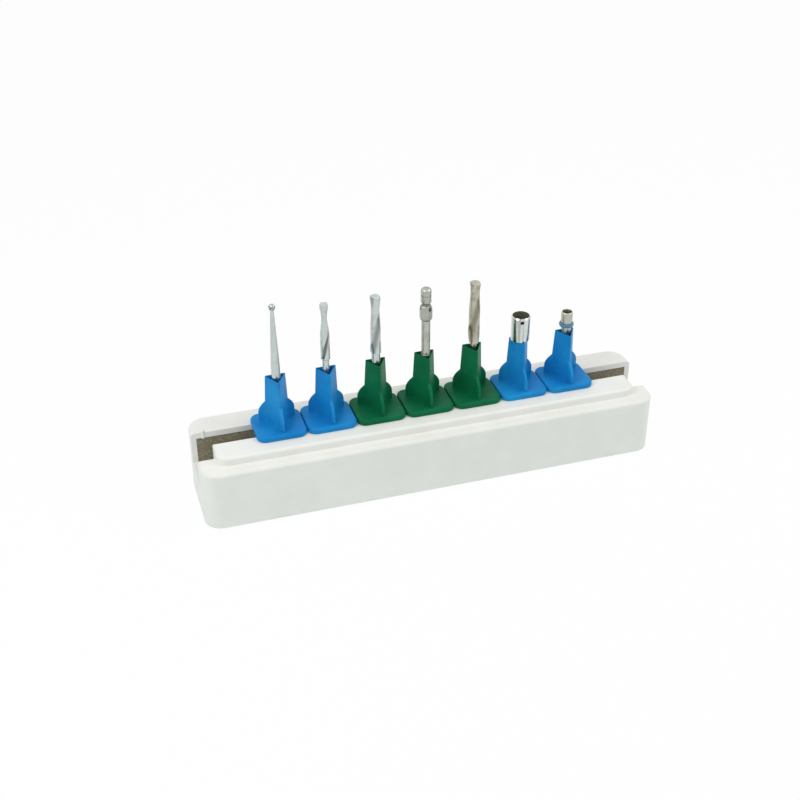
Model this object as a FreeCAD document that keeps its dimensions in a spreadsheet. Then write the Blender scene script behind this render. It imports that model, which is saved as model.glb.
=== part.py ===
"""Bench organizer for rotary implant instruments, as a parametric FreeCAD document.

A white moulded block carries a long open channel. A rail is set into the front of the channel and leaves a
slot along the block. Seven moulded holders stand shoulder to shoulder on the slot, and each one holds the
shank of one instrument: a round bur, a pilot drill, two twist drills, a hex driver, a tissue punch and a
small drill stop. A dark grip strip lines the far wall of the slot.

Frame: millimetres, +Z up, X along the block to the right, Y away from the viewer, origin at the middle of
the block's underside.
"""
import FreeCAD, Part
import math
import os

from FreeCAD import Placement, Rotation, Vector
import Sketcher

SHEET = "Sizes"

SIZES = [
    # name, value, meaning
    ("block_length", 125.5, "block, end to end"),
    ("block_depth", 25.2, "block, front to back"),
    ("front_wall_height", 16.5, "top of the low front land"),
    ("back_wall_height", 18.8, "top of the back wall and of the rail"),
    ("front_wall_depth", 7.8, "front face to the near side of the channel"),
    ("channel_depth", 9.5, "channel, near side to far side"),
    ("channel_floor", 9.9, "floor of the channel above the bench"),
    ("block_corner", 4.6, "upright corner radius of the block"),
    ("block_edge", 1.0, "rounding of the block's outer top edges"),
    ("rail_front_inset", 3.5, "block front to rail front"),
    ("rail_end_inset", 4.7, "block end to rail end"),
    ("rail_corner", 3.2, "front corner radius of the rail"),
    ("rail_edge", 0.8, "rounding of the rail's top edges"),
    ("slot_width", 5.8, "free slot, rail to back wall"),
    ("rail_seat_gap", 0.05, "assembly gap of the rail's foot in the channel"),
    ("strip_thickness", 1.0, "grip strip"),
    ("strip_top_margin", 1.6, "wall left above the strip"),
    ("strip_end_margin", 1.4, "wall left at each end of the strip"),
    ("strip_recess", 0.15, "strip face behind the wall face"),
    ("strip_gap", 0.05, "assembly gap around the strip"),
    ("stop_radius", 0.4, "end stop peg"),
    ("stop_rise", 0.9, "peg above the wall top"),
    ("stop_inset", 3.2, "block end to the peg's axis"),
    ("holder_pitch", 13.45, "holder to holder"),
    ("holder_gap", 0.15, "free gap between two plates"),
    ("row_inset", 22.65, "block end to the axis of the first holder"),
    ("plate_front", 7.0, "tube axis to the plate's front edge"),
    ("plate_back", 5.6, "tube axis to the plate's back edge"),
    ("plate_thickness", 1.5, "holder plate"),
    ("plate_corner", 2.4, "corner radius of the plate"),
    ("plate_edge", 0.35, "rounding of the plate's top edge"),
    ("plate_lift", 0.05, "running gap under the plate"),
    ("foot_gap", 0.1, "running gap of the foot at each side of the slot"),
    ("foot_length", 9.5, "foot along the slot"),
    ("foot_floor_gap", 0.6, "foot above the channel floor"),
    ("foot_corner", 1.2, "upright corner radius of the foot"),
    ("tube_height", 13.4, "rim above the plate"),
    ("tube_base", 3.5, "corner radius of the three-sided tube at the plate"),
    ("tube_rim", 3.07, "corner radius of the tube at the rim"),
    ("socket_corner", 2.4, "corner radius of the three-sided socket"),
    ("socket_length", 13.15, "socket below the rim"),
    ("datum_lift", 0.85, "rim to the datum of the instruments' lengths"),
    ("funnel_corner", 2.6, "corner radius of the socket's mouth"),
    ("funnel_length", 1.2, "tapered entry of the socket"),
    ("fin_thickness", 1.0, "fins of the holder"),
    ("fin_reach", 5.6, "tube axis to a fin's outer edge"),
    ("fin_root", 6.2, "fin height at the tube"),
    ("fin_edge", 3.0, "height of a fin's shoulder"),
    ("fin_round", 1.2, "rounding of the shoulder"),
    ("shank_radius", 1.175, "latch shank"),
    ("shank_groove", 0.35, "depth of the latch groove"),
    ("groove_start", 1.9, "shank end to the latch groove"),
    ("groove_width", 0.7, "latch groove"),
    ("flat_length", 2.6, "driving flat on the shank's end"),
    ("flat_depth", 0.45, "how much the flat takes off the shank"),
    ("bur_reach", 20.3, "round bur above the rim"),
    ("bur_head", 0.92, "head radius"),
    ("bur_neck", 0.48, "neck radius"),
    ("bur_shoulder", 2.8, "start of the taper above the rim"),
    ("pilot_reach", 18.6, "pilot drill above the rim"),
    ("pilot_tip", 0.9, "radius of the tip's end face"),
    ("pilot_crown", 1.15, "widest radius of the tip"),
    ("pilot_crown_drop", 0.9, "tip end to its widest place"),
    ("pilot_waist", 0.72, "waist radius"),
    ("pilot_waist_drop", 4.0, "tip end to the waist"),
    ("pilot_body", 1.24, "radius of the lower body"),
    ("pilot_body_drop", 9.3, "tip end to the full body"),
    ("pilot_step", 2.4, "lower end of the body above the rim"),
    ("pilot_shank", 0.92, "radius of the thin shank"),
    ("pilot_flute", 0.62, "radius of the round flutes"),
    ("pilot_flute_lead", 24.0, "rise of a flute in one turn"),
    ("pilot_phase", 29.5, "turn of its first flute, degrees"),
    ("short_drill_reach", 18.9, "shorter twist drill above the rim"),
    ("short_drill_radius", 1.4, "its cutting radius"),
    ("short_drill_start", 2.0, "start of its flutes above the rim"),
    ("short_drill_lead", 19.0, "rise of its flutes in one turn"),
    ("short_drill_web", 0.62, "half thickness of its core"),
    ("short_drill_phase", 40.0, "turn of its first land, degrees"),
    ("long_drill_reach", 18.7, "wider twist drill above the rim"),
    ("long_drill_radius", 1.52, "its cutting radius"),
    ("long_drill_start", 0.5, "start of its flutes above the rim"),
    ("long_drill_lead", 25.0, "rise of its flutes in one turn"),
    ("long_drill_web", 0.7, "half thickness of its core"),
    ("long_drill_phase", 129.6, "turn of its first land, degrees"),
    ("long_drill_neck", 0.93, "neck radius under the flutes"),
    ("long_drill_neck_length", 3.0, "neck"),
    ("land_angle", 76.0, "width of each cutting land, degrees"),
    ("point_height", 1.1, "height of a twist drill's point"),
    ("point_flat", 0.35, "radius left at a twist drill's point"),
    ("driver_reach", 18.9, "driver above the rim"),
    ("driver_cap", 1.32, "cap radius"),
    ("driver_cap_round", 0.7, "rounding of the cap"),
    ("driver_groove_drop", 1.8, "cap top to the ring groove"),
    ("driver_groove", 0.14, "depth of the ring groove"),
    ("driver_groove_width", 0.3, "ring groove"),
    ("driver_waist_drop", 4.6, "cap top to the waist"),
    ("driver_waist", 1.05, "waist radius"),
    ("driver_waist_length", 0.6, "waist"),
    ("driver_hex", 1.78, "corner radius of the hexagon collar"),
    ("driver_hex_length", 4.4, "hexagon collar"),
    ("driver_hex_bevel", 0.55, "bevel at the collar's ends"),
    ("driver_notch", 0.45, "depth of the notches in the collar"),
    ("driver_notch_width", 0.7, "notch"),
    ("driver_shaft", 1.13, "shaft radius"),
    ("driver_ring", 1.22, "radius of the ring at the socket mouth"),
    ("driver_ring_drop", 0.75, "ring below the rim"),
    ("driver_ring_length", 0.55, "ring"),
    ("punch_radius", 2.55, "tissue punch, outside"),
    ("punch_wall", 0.3, "wall at its cutting end"),
    ("punch_height", 6.3, "punch above the rim"),
    ("punch_bore", 5.0, "depth of its bore"),
    ("punch_bevel", 0.5, "height of the cutting bevel"),
    ("punch_window", 0.55, "radius of the side window"),
    ("punch_window_drop", 1.6, "cutting edge to the window's axis"),
    ("stopper_radius", 1.55, "drill stop above its ring"),
    ("stopper_reach", 5.3, "drill stop above the rim"),
    ("stopper_bore", 1.15, "radius of its bore"),
    ("stopper_bore_depth", 3.4, "bore"),
    ("stopper_collar_drop", 1.1, "stop: seat of the ring above the rim"),
    ("stopper_seat", 1.4, "radius under the ring"),
    ("ring_radius", 1.98, "coloured ring, outside"),
    ("ring_length", 1.3, "coloured ring"),
    ("ring_gap", 0.03, "assembly gap of the ring on the drill stop"),
]

# places that follow from the sizes above, as expressions of the sheet
SLOT_AXIS = ("(-Sizes.block_depth / 2 + Sizes.front_wall_depth + Sizes.channel_depth"
             " - Sizes.slot_width / 2)")
WALL_FACE = "(-Sizes.block_depth / 2 + Sizes.front_wall_depth + Sizes.channel_depth)"
RAIL_BACK = "(" + WALL_FACE + " - Sizes.slot_width)"
PLATE_SEAT = "(Sizes.back_wall_height + Sizes.plate_lift)"
SOCKET_FLOOR = ("(" + PLATE_SEAT + " + Sizes.plate_thickness + Sizes.tube_height"
                " - Sizes.socket_length)")
ROW_AXIS = "(-Sizes.block_length / 2 + Sizes.row_inset + %d * Sizes.holder_pitch)"

doc = FreeCAD.newDocument("InstrumentOrganizer")
sheet = doc.addObject("Spreadsheet::Sheet", SHEET)
VALUES = {}
for row, (name, value, meaning) in enumerate(SIZES, start=1):
    sheet.set("A%d" % row, name)
    sheet.set("B%d" % row, str(value))
    sheet.set("C%d" % row, meaning)
    sheet.setAlias("B%d" % row, name)
    VALUES[name] = value
doc.recompute()


def number(expression):
    """Value of a sheet expression, for first positions of sketch geometry."""
    text = expression.replace(SHEET + ".", "")
    return float(sheet.evalExpression(SHEET + "." + text) if text in VALUES
                 else sheet.evalExpression(expression))


def size(name):
    """Expression that reads one cell of the sheet."""
    return SHEET + "." + name


def new_body(label):
    """Empty body whose label is the piece's name."""
    body = doc.addObject("PartDesign::Body", label)
    body.Label = label
    return body


def origin_plane(body, role):
    """Origin plane or axis of a body, found by its role."""
    return next(item for item in body.Origin.OriginFeatures if item.Role == role)


def new_sketch(body, name, role, offset="0", turn="0"):
    """Sketch on an origin plane of its own body, lifted and turned about the plane's normal."""
    sketch = body.newObject("Sketcher::SketchObject", name)
    sketch.AttachmentSupport = [(origin_plane(body, role), "")]
    sketch.MapMode = "FlatFace"
    sketch.AttachmentOffset = Placement(Vector(0, 0, number(offset)), Rotation(Vector(0, 0, 1), number(turn)))
    if offset != "0":
        sketch.setExpression("AttachmentOffset.Base.z", offset)
    if turn != "0":
        sketch.setExpression("AttachmentOffset.Rotation.Angle", turn)
    return sketch


def bind(sketch, constraint, expression):
    """Add a constraint whose value follows a sheet expression."""
    index = sketch.addConstraint(constraint)
    sketch.setExpression("Constraints[%d]" % index, expression)
    return index


def pin(sketch, geometry, place, x_text, y_text):
    """Hold a point of the geometry at the two given distances from the sketch's origin."""
    for kind, text in (("DistanceX", x_text), ("DistanceY", y_text)):
        bind(sketch, Sketcher.Constraint(kind, -1, 1, geometry, place, number(text)), text)


def polygon(sketch, corners):
    """Closed outline through corners, each a pair of expressions."""
    points = [Vector(number(x_text), number(y_text), 0) for x_text, y_text in corners]
    first = sketch.GeometryCount
    count = len(points)
    for k in range(count):
        sketch.addGeometry(Part.LineSegment(points[k], points[(k + 1) % count]), False)
    for k in range(count):
        sketch.addConstraint(Sketcher.Constraint("Coincident", first + k, 2, first + (k + 1) % count, 1))
    for k, (x_text, y_text) in enumerate(corners):
        pin(sketch, first + k, 1, x_text, y_text)
    return first


def circle(sketch, x_text, y_text, radius):
    """Circle with its centre and radius held by expressions."""
    index = sketch.addGeometry(
        Part.Circle(Vector(number(x_text), number(y_text), 0), Vector(0, 0, 1), number(radius)), False)
    pin(sketch, index, 3, x_text, y_text)
    bind(sketch, Sketcher.Constraint("Radius", index, number(radius)), radius)
    return index


def rectangle(sketch, left, right, low, high):
    """Rectangle between four expressions."""
    return polygon(sketch, [(left, low), (right, low), (right, high), (left, high)])


def triangle(sketch, radius):
    """Regular triangle with one corner to the front, its corners at the given radius."""
    side = "%s * cos(30)" % radius
    return polygon(sketch, [("0", "-" + radius), (side, "%s / 2" % radius), ("-" + side, "%s / 2" % radius)])


def hexagon(sketch, radius):
    """Regular hexagon with its corners at the given radius."""
    corners = []
    for k in range(6):
        corners.append(("%s * cos(%d)" % (radius, 60 * k), "%s * sin(%d)" % (radius, 60 * k)))
    return polygon(sketch, corners)


def pad(body, name, sketch, length, symmetric=False, reverse=False):
    """Pad of a sketch with its length bound to the sheet."""
    feature = body.newObject("PartDesign::Pad", name)
    feature.Profile = sketch
    feature.Length = number(length)
    feature.setExpression("Length", length)
    if symmetric:
        feature.SideType = "Symmetric"
    feature.Reversed = reverse
    doc.recompute()
    return feature


def cut(body, name, sketch, length, symmetric=False, taper=None):
    """Pocket that is turned round if it removes nothing, and stops the build if it still does not."""
    before = body.Shape.Volume
    feature = body.newObject("PartDesign::Pocket", name)
    feature.Profile = sketch
    feature.Length = number(length)
    feature.setExpression("Length", length)
    if symmetric:
        feature.SideType = "Symmetric"
    if taper is not None:
        feature.TaperAngle = number(taper)
        feature.setExpression("TaperAngle", taper)
    doc.recompute()
    if not removes(feature, before):
        feature.Reversed = True
        doc.recompute()
    if not removes(feature, before):
        raise RuntimeError("nothing cut by " + name)
    return feature


def removes(feature, before):
    """True when a cutting feature leaves less than was there."""
    return not feature.Shape.isNull() and feature.Shape.Volume < before - 1e-4


def revolve(body, name, sketch):
    """Full turn of a profile about the sketch's upright axis."""
    feature = body.newObject("PartDesign::Revolution", name)
    feature.Profile = sketch
    feature.ReferenceAxis = (sketch, ["V_Axis"])
    feature.Angle = 360.0
    doc.recompute()
    return feature


def turn_away(body, name, sketch):
    """Groove: full turn of a profile about the sketch's upright axis, taken off the body."""
    before = body.Shape.Volume
    feature = body.newObject("PartDesign::Groove", name)
    feature.Profile = sketch
    feature.ReferenceAxis = (sketch, ["V_Axis"])
    feature.Angle = 360.0
    doc.recompute()
    if not removes(feature, before):
        raise RuntimeError("nothing turned away by " + name)
    return feature


def loft(body, name, sketches, kind="PartDesign::AdditiveLoft", ruled=False):
    """Loft through sketches from the first to the last."""
    feature = body.newObject(kind, name)
    feature.Profile = sketches[0]
    feature.Sections = sketches[1:]
    feature.Ruled = ruled
    doc.recompute()
    return feature


def dress(body, kind, name, radius, chosen):
    """Fillet or chamfer on the edges that the test picks from the body's present shape."""
    base = body.Tip
    names = ["Edge%d" % (k + 1) for k, edge in enumerate(base.Shape.Edges) if chosen(edge)]
    if not names:
        raise RuntimeError("no edge for " + name)
    feature = body.newObject("PartDesign::" + kind, name)
    feature.Base = (base, names)
    prop = "Radius" if kind == "Fillet" else "Size"
    setattr(feature, prop, number(radius))
    feature.setExpression(prop, radius)
    doc.recompute()
    return feature


def middle(edge):
    """Middle point of an edge."""
    return edge.valueAt((edge.FirstParameter + edge.LastParameter) / 2)


def near(value, target):
    """Equal within a hair."""
    return abs(value - target) < 1e-3


def upright(edge):
    """True for an edge that runs along Z."""
    return len(edge.Vertexes) == 2 and near(edge.Vertexes[0].X, edge.Vertexes[1].X) and near(
        edge.Vertexes[0].Y, edge.Vertexes[1].Y) and not near(edge.Vertexes[0].Z, edge.Vertexes[1].Z)


def level(edge, height):
    """True for an edge that lies at one height."""
    box = edge.BoundBox
    return near(box.ZMin, height) and near(box.ZMax, height)


def place(piece, x_text, y_text, z_text):
    """Put a piece in the model frame by expressions."""
    piece.Placement = Placement(Vector(number(x_text), number(y_text), number(z_text)), Rotation())
    for axis, text in (("x", x_text), ("y", y_text), ("z", z_text)):
        piece.setExpression("Placement.Base." + axis, text)


def build_block():
    """Moulded block: channel section along X, rounded corners, pocket for the strip, seat of the peg."""
    body = new_body("base_block")
    front = "(-Sizes.block_depth / 2)"
    back = "(Sizes.block_depth / 2)"
    near_side = "(-Sizes.block_depth / 2 + Sizes.front_wall_depth)"
    section = new_sketch(body, "BlockSection", "YZ_Plane")
    polygon(section, [
        (front, "0"), (back, "0"), (back, size("back_wall_height")), (WALL_FACE, size("back_wall_height")),
        (WALL_FACE, size("channel_floor")), (near_side, size("channel_floor")),
        (near_side, size("front_wall_height")), (front, size("front_wall_height"))])
    pad(body, "BlockRun", section, size("block_length"), symmetric=True)
    half_length, half_depth = number(size("block_length")) / 2, number(size("block_depth")) / 2
    dress(body, "Fillet", "BlockCorners", size("block_corner"),
          lambda e: upright(e) and near(abs(middle(e).x), half_length) and near(abs(middle(e).y), half_depth))
    low, high = number(size("front_wall_height")), number(size("back_wall_height"))
    near_y, wall_y = number(near_side), number(WALL_FACE)
    dress(body, "Fillet", "BlockEdges", size("block_edge"),
          lambda e: (level(e, low) and middle(e).y < near_y - 0.5 or level(e, high)
                     and middle(e).y > wall_y + 0.5))
    pocket = new_sketch(body, "StripPocket", "XZ_Plane", "-" + WALL_FACE)
    end = "(Sizes.block_length / 2 - Sizes.strip_end_margin)"
    rectangle(pocket, "-" + end, end, size("channel_floor"),
              "(Sizes.back_wall_height - Sizes.strip_top_margin)")
    cut(body, "StripSeat", pocket, "(Sizes.strip_thickness + Sizes.strip_recess)")
    peg = new_sketch(body, "PegSeat", "XY_Plane", size("back_wall_height"))
    circle(peg, "(-Sizes.block_length / 2 + Sizes.stop_inset)", WALL_FACE, size("stop_radius"))
    cut(body, "PegHole", peg, size("strip_top_margin"))
    return body


def build_rail():
    """Front rail: a flat top on the front land with a foot that fills the near part of the channel."""
    body = new_body("front_rail")
    front = "(-Sizes.block_depth / 2 + Sizes.rail_front_inset)"
    foot = "(-Sizes.block_depth / 2 + Sizes.front_wall_depth + Sizes.rail_seat_gap)"
    section = new_sketch(body, "RailSection", "YZ_Plane")
    polygon(section, [
        (front, size("front_wall_height")), (foot, size("front_wall_height")),
        (foot, size("channel_floor")), (RAIL_BACK, size("channel_floor")),
        (RAIL_BACK, size("back_wall_height")), (front, size("back_wall_height"))])
    pad(body, "RailRun", section, "(Sizes.block_length - 2 * Sizes.rail_end_inset)", symmetric=True)
    front_y = number(front)
    dress(body, "Fillet", "RailCorners", size("rail_corner"),
          lambda e: upright(e) and near(middle(e).y, front_y))
    top = number(size("back_wall_height"))
    dress(body, "Fillet", "RailEdges", size("rail_edge"), lambda e: level(e, top))
    return body


def build_strip():
    """Grip strip in the far wall's pocket."""
    body = new_body("grip_strip")
    outline = new_sketch(body, "StripOutline", "XY_Plane", size("channel_floor"))
    end = "(Sizes.block_length / 2 - Sizes.strip_end_margin - Sizes.strip_gap)"
    rectangle(outline, "-" + end, end, "(" + WALL_FACE + " + Sizes.strip_recess)",
              "(" + WALL_FACE + " + Sizes.strip_recess + Sizes.strip_thickness)")
    pad(body, "StripRun", outline,
        "(Sizes.back_wall_height - Sizes.strip_top_margin - Sizes.strip_gap - Sizes.channel_floor)")
    return body


def build_stop():
    """Upright peg with a domed top that ends the slot at the left."""
    body = new_body("end_stop_peg")
    outline = new_sketch(body, "PegOutline", "XY_Plane")
    circle(outline, "0", "0", size("stop_radius"))
    pad(body, "PegRun", outline, "(Sizes.strip_top_margin + Sizes.stop_rise)")
    top = number("Sizes.strip_top_margin + Sizes.stop_rise")
    dress(body, "Fillet", "PegDome", "(0.6 * Sizes.stop_radius)", lambda e: level(e, top))
    place(body, "(-Sizes.block_length / 2 + Sizes.stop_inset)", WALL_FACE,
          "(Sizes.back_wall_height - Sizes.strip_top_margin)")
    return body


def build_holder(index):
    """Holder: plate, foot in the slot, tapered three-sided tube with socket, three shouldered fins."""
    body = new_body("holder_%d" % (index + 1))
    half = "((Sizes.holder_pitch - Sizes.holder_gap) / 2)"
    plate = new_sketch(body, "PlateOutline", "XY_Plane")
    rectangle(plate, "-" + half, half, "-" + size("plate_front"), size("plate_back"))
    pad(body, "Plate", plate, size("plate_thickness"))
    dress(body, "Fillet", "PlateCorners", size("plate_corner"), upright)
    top = number(size("plate_thickness"))
    dress(body, "Fillet", "PlateEdge", size("plate_edge"), lambda e: level(e, top))
    foot = new_sketch(body, "FootOutline", "XY_Plane")
    side = "(Sizes.slot_width / 2 - Sizes.foot_gap)"
    rectangle(foot, "-Sizes.foot_length / 2", "Sizes.foot_length / 2", "-" + side, side)
    pad(body, "Foot", foot, "(Sizes.back_wall_height + Sizes.plate_lift - Sizes.channel_floor"
        " - Sizes.foot_floor_gap)", reverse=True)
    under = -0.5
    dress(body, "Fillet", "FootCorners", size("foot_corner"),
          lambda e: upright(e) and middle(e).z < under)
    sections = []
    for name, height, reach in (("TubeFoot", size("plate_thickness"), size("tube_base")),
                                ("TubeRim", "(Sizes.plate_thickness + Sizes.tube_height)", size("tube_rim"))):
        outline = new_sketch(body, name, "XY_Plane", height)
        triangle(outline, reach)
        sections.append(outline)
    loft(body, "Tube", sections, ruled=True)
    lift, root = size("plate_thickness"), "(Sizes.plate_thickness + Sizes.fin_root)"
    edge, reach = "(Sizes.plate_thickness + Sizes.fin_edge)", size("fin_reach")
    outline = new_sketch(body, "FinOutline", "YZ_Plane")
    polygon(outline, [("-" + reach, lift), ("0", lift), ("0", root), ("-Sizes.tube_rim", root),
                      ("-" + reach, edge)])
    fin = pad(body, "Fin", outline, size("fin_thickness"), symmetric=True)
    pattern = body.newObject("PartDesign::PolarPattern", "Fins")
    pattern.Originals = [fin]
    pattern.Axis = (origin_plane(body, "Z_Axis"), [""])
    pattern.Occurrences = 3
    pattern.Angle = 360
    body.Tip = pattern
    doc.recompute()
    shoulder = number(edge)
    dress(body, "Fillet", "FinShoulders", size("fin_round"), lambda e: level(e, shoulder))
    rim = "(Sizes.plate_thickness + Sizes.tube_height)"
    socket = new_sketch(body, "SocketOutline", "XY_Plane", rim)
    triangle(socket, size("socket_corner"))
    cut(body, "Socket", socket, size("socket_length"))
    upper = new_sketch(body, "FunnelMouth", "XY_Plane", rim)
    triangle(upper, size("funnel_corner"))
    lower = new_sketch(body, "FunnelEnd", "XY_Plane", "(" + rim + " - Sizes.funnel_length)")
    triangle(lower, size("socket_corner"))
    loft(body, "Funnel", [upper, lower], "PartDesign::SubtractiveLoft", ruled=True)
    place(body, ROW_AXIS % index, SLOT_AXIS, PLATE_SEAT)
    return body


RIM = "(Sizes.socket_length + Sizes.datum_lift)"


def above_rim(name):
    """Height of a size above the rim, measured from the socket's floor."""
    return "(%s + %s)" % (RIM, size(name))


def shank_profile():
    """Lower corners of an instrument's profile: a latch shank with its groove, up to the groove's top."""
    radius = size("shank_radius")
    grooved = "(Sizes.shank_radius - Sizes.shank_groove)"
    groove_end = "(Sizes.groove_start + Sizes.groove_width)"
    return [("0", "0"), (radius, "0"), (radius, size("groove_start")), (grooved, size("groove_start")),
            (grooved, groove_end), (radius, groove_end)]


def cut_flat(body):
    """Driving flat on the shank's end."""
    outline = new_sketch(body, "FlatOutline", "XY_Plane")
    rectangle(outline, "-2 * Sizes.shank_radius", "2 * Sizes.shank_radius",
              "(Sizes.shank_radius - Sizes.flat_depth)", "(2 * Sizes.shank_radius)")
    cut(body, "Flat", outline, size("flat_length"))


def seat_instrument(body, index):
    """Stand an instrument on the floor of its holder's socket."""
    place(body, ROW_AXIS % index, SLOT_AXIS, SOCKET_FLOOR)


def build_round_bur(index):
    """Round bur: latch shank, long tapered neck, ball head."""
    body = new_body("round_bur")
    profile = new_sketch(body, "BurProfile", "XZ_Plane")
    head = "(%s + Sizes.bur_reach - Sizes.bur_head)" % RIM
    corners = shank_profile() + [
        (size("shank_radius"), above_rim("bur_shoulder")),
        (size("bur_neck"), "(%s - 0.8 * Sizes.bur_head)" % head), ("0", "(%s - 0.8 * Sizes.bur_head)" % head)]
    polygon(profile, corners)
    revolve(body, "BurShaft", profile)
    ball = new_sketch(body, "HeadProfile", "XZ_Plane")
    rings = []
    for step in range(7):
        angle = -75 + 25 * step
        rings.append(("(Sizes.bur_head * cos(%d))" % angle,
                      "(%s + Sizes.bur_head * sin(%d))" % (head, angle)))
    polygon(ball, [("0", "(%s - Sizes.bur_head)" % head)] + rings + [("0", "(%s + Sizes.bur_head)" % head)])
    revolve(body, "BurHead", ball)
    cut_flat(body)
    seat_instrument(body, index)
    return body


def fluted_section(sketch, radius, web, land):
    """Two cutting lands on the radius joined by two hollow flutes that leave the web between them."""
    half = math.radians(number(land) / 2)
    outer, core = number(radius), number(web)
    arcs = []
    for start in (0.0, math.pi):
        first = Vector(outer * math.cos(start - half), outer * math.sin(start - half), 0)
        crest = Vector(outer * math.cos(start), outer * math.sin(start), 0)
        last = Vector(outer * math.cos(start + half), outer * math.sin(start + half), 0)
        bottom = Vector(core * math.cos(start + math.pi / 2), core * math.sin(start + math.pi / 2), 0)
        following = Vector(-outer * math.cos(start - half), -outer * math.sin(start - half), 0)
        arcs.append(sketch.addGeometry(Part.Arc(first, crest, last), False))
        arcs.append(sketch.addGeometry(Part.Arc(last, bottom, following), False))
    corner_x = "(%s * cos(%s / 2))" % (radius, land)
    corner_y = "(%s * sin(%s / 2))" % (radius, land)
    signs = (("", "-"), ("", ""), ("-", ""), ("-", "-"))
    anchors = []
    for sign_x, sign_y in signs:
        x_text, y_text = sign_x + corner_x, sign_y + corner_y
        point = sketch.addGeometry(Part.Point(Vector(number(x_text), number(y_text), 0)), True)
        pin(sketch, point, 1, x_text, y_text)
        anchors.append(point)
    ends = ((arcs[0], 1, 0), (arcs[0], 2, 1), (arcs[1], 1, 1), (arcs[1], 2, 2),
            (arcs[2], 1, 2), (arcs[2], 2, 3), (arcs[3], 1, 3), (arcs[3], 2, 0))
    for arc, end, corner in ends:
        if sketch.getPoint(arc, end).distanceToPoint(sketch.getPoint(anchors[corner], 1)) > 1e-6:
            end = 3 - end
        sketch.addConstraint(Sketcher.Constraint("Coincident", arc, end, anchors[corner], 1))
    for arc in (arcs[0], arcs[2]):
        bind(sketch, Sketcher.Constraint("Radius", arc, outer), radius)
    for arc, sign in ((arcs[1], ""), (arcs[3], "-")):
        point = sketch.addGeometry(Part.Point(Vector(0, (1 if sign == "" else -1) * core, 0)), True)
        pin(sketch, point, 1, "0", sign + web)
        sketch.addConstraint(Sketcher.Constraint("PointOnObject", point, 1, arc))


SPANS = 6


def build_twist_drill(label, index, prefix, neck=False):
    """Twist drill: latch shank, fluted part lofted through turned sections, tapered fluted point."""
    body = new_body(label)
    radius, web, lead = size(prefix + "_radius"), size(prefix + "_web"), size(prefix + "_lead")
    phase = size(prefix + "_phase")
    start, reach = above_rim(prefix + "_start"), above_rim(prefix + "_reach")
    profile = new_sketch(body, "ShankProfile", "XZ_Plane")
    corners = shank_profile()
    if neck:
        lower = "(%s - Sizes.%s_neck_length)" % (start, prefix)
        corners += [(size("shank_radius"), lower), (size(prefix + "_neck"), lower),
                    (size(prefix + "_neck"), start)]
    else:
        corners += [(size("shank_radius"), start)]
    corners += [("0", start)]
    polygon(profile, corners)
    revolve(body, "Shank", profile)
    rise = "(%s - %s - Sizes.point_height)" % (reach, start)
    sections = []
    for step in range(SPANS + 1):
        outline = new_sketch(body, "Flutes%d" % step, "XY_Plane",
                             "(%s + %s * %d / %d)" % (start, rise, step, SPANS),
                             "(%s + 360 * %s * %d / (%s * %d))" % (phase, rise, step, lead, SPANS))
        fluted_section(outline, radius, web, size("land_angle"))
        sections.append(outline)
    loft(body, "FlutedPart", sections)
    tip = []
    for step, share in enumerate((0, 1)):
        height = "(%s - Sizes.point_height * %d)" % (reach, 1 - share)
        turn = "(%s + 360 * (%s + Sizes.point_height * %d) / %s)" % (phase, rise, share, lead)
        outline = new_sketch(body, "Point%d" % step, "XY_Plane", height, turn)
        scale = "(%s / %s)" % (size("point_flat"), radius) if share else "1"
        fluted_section(outline, "(%s * %s)" % (radius, scale), "(%s * %s)" % (web, scale), size("land_angle"))
        tip.append(outline)
    loft(body, "Point", tip)
    cut_flat(body)
    seat_instrument(body, index)
    return body


def build_pilot_drill(index):
    """Pilot drill: flared tip, slim waist, fluted body with a step down to a thin shank."""
    body = new_body("pilot_drill")
    profile = new_sketch(body, "PilotProfile", "XZ_Plane")
    reach = above_rim("pilot_reach")
    corners = shank_profile() + [
        (size("shank_radius"), "(%s - Sizes.funnel_length)" % RIM),
        (size("pilot_shank"), "(%s - Sizes.funnel_length)" % RIM),
        (size("pilot_shank"), above_rim("pilot_step")), (size("pilot_body"), above_rim("pilot_step")),
        (size("pilot_body"), "(%s - Sizes.pilot_body_drop)" % reach),
        ("((Sizes.pilot_body + Sizes.pilot_waist) / 2)",
         "(%s - (Sizes.pilot_body_drop + 2 * Sizes.pilot_waist_drop) / 3)" % reach),
        (size("pilot_waist"), "(%s - Sizes.pilot_waist_drop)" % reach),
        ("((Sizes.pilot_crown + Sizes.pilot_waist) / 2)",
         "(%s - (Sizes.pilot_crown_drop + Sizes.pilot_waist_drop) / 2)" % reach),
        (size("pilot_crown"), "(%s - Sizes.pilot_crown_drop)" % reach),
        (size("pilot_tip"), reach), ("0", reach)]
    polygon(profile, corners)
    revolve(body, "PilotBlank", profile)
    rise = "(Sizes.pilot_reach - Sizes.pilot_step)"
    for side, sign in (("Right", ""), ("Left", "-")):
        sections = []
        for step in range(SPANS + 1):
            outline = new_sketch(
                body, "%sFlute%d" % (side, step), "XY_Plane",
                "(%s + %s * %d / %d)" % (above_rim("pilot_step"), rise, step, SPANS),
                "(Sizes.pilot_phase + 360 * %s * %d / (Sizes.pilot_flute_lead * %d))" % (rise, step, SPANS))
            circle(outline, sign + "(Sizes.pilot_body + 0.35 * Sizes.pilot_flute)", "0", size("pilot_flute"))
            sections.append(outline)
        loft(body, side + "Flute", sections, "PartDesign::SubtractiveLoft")
    cut_flat(body)
    seat_instrument(body, index)
    return body


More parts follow.
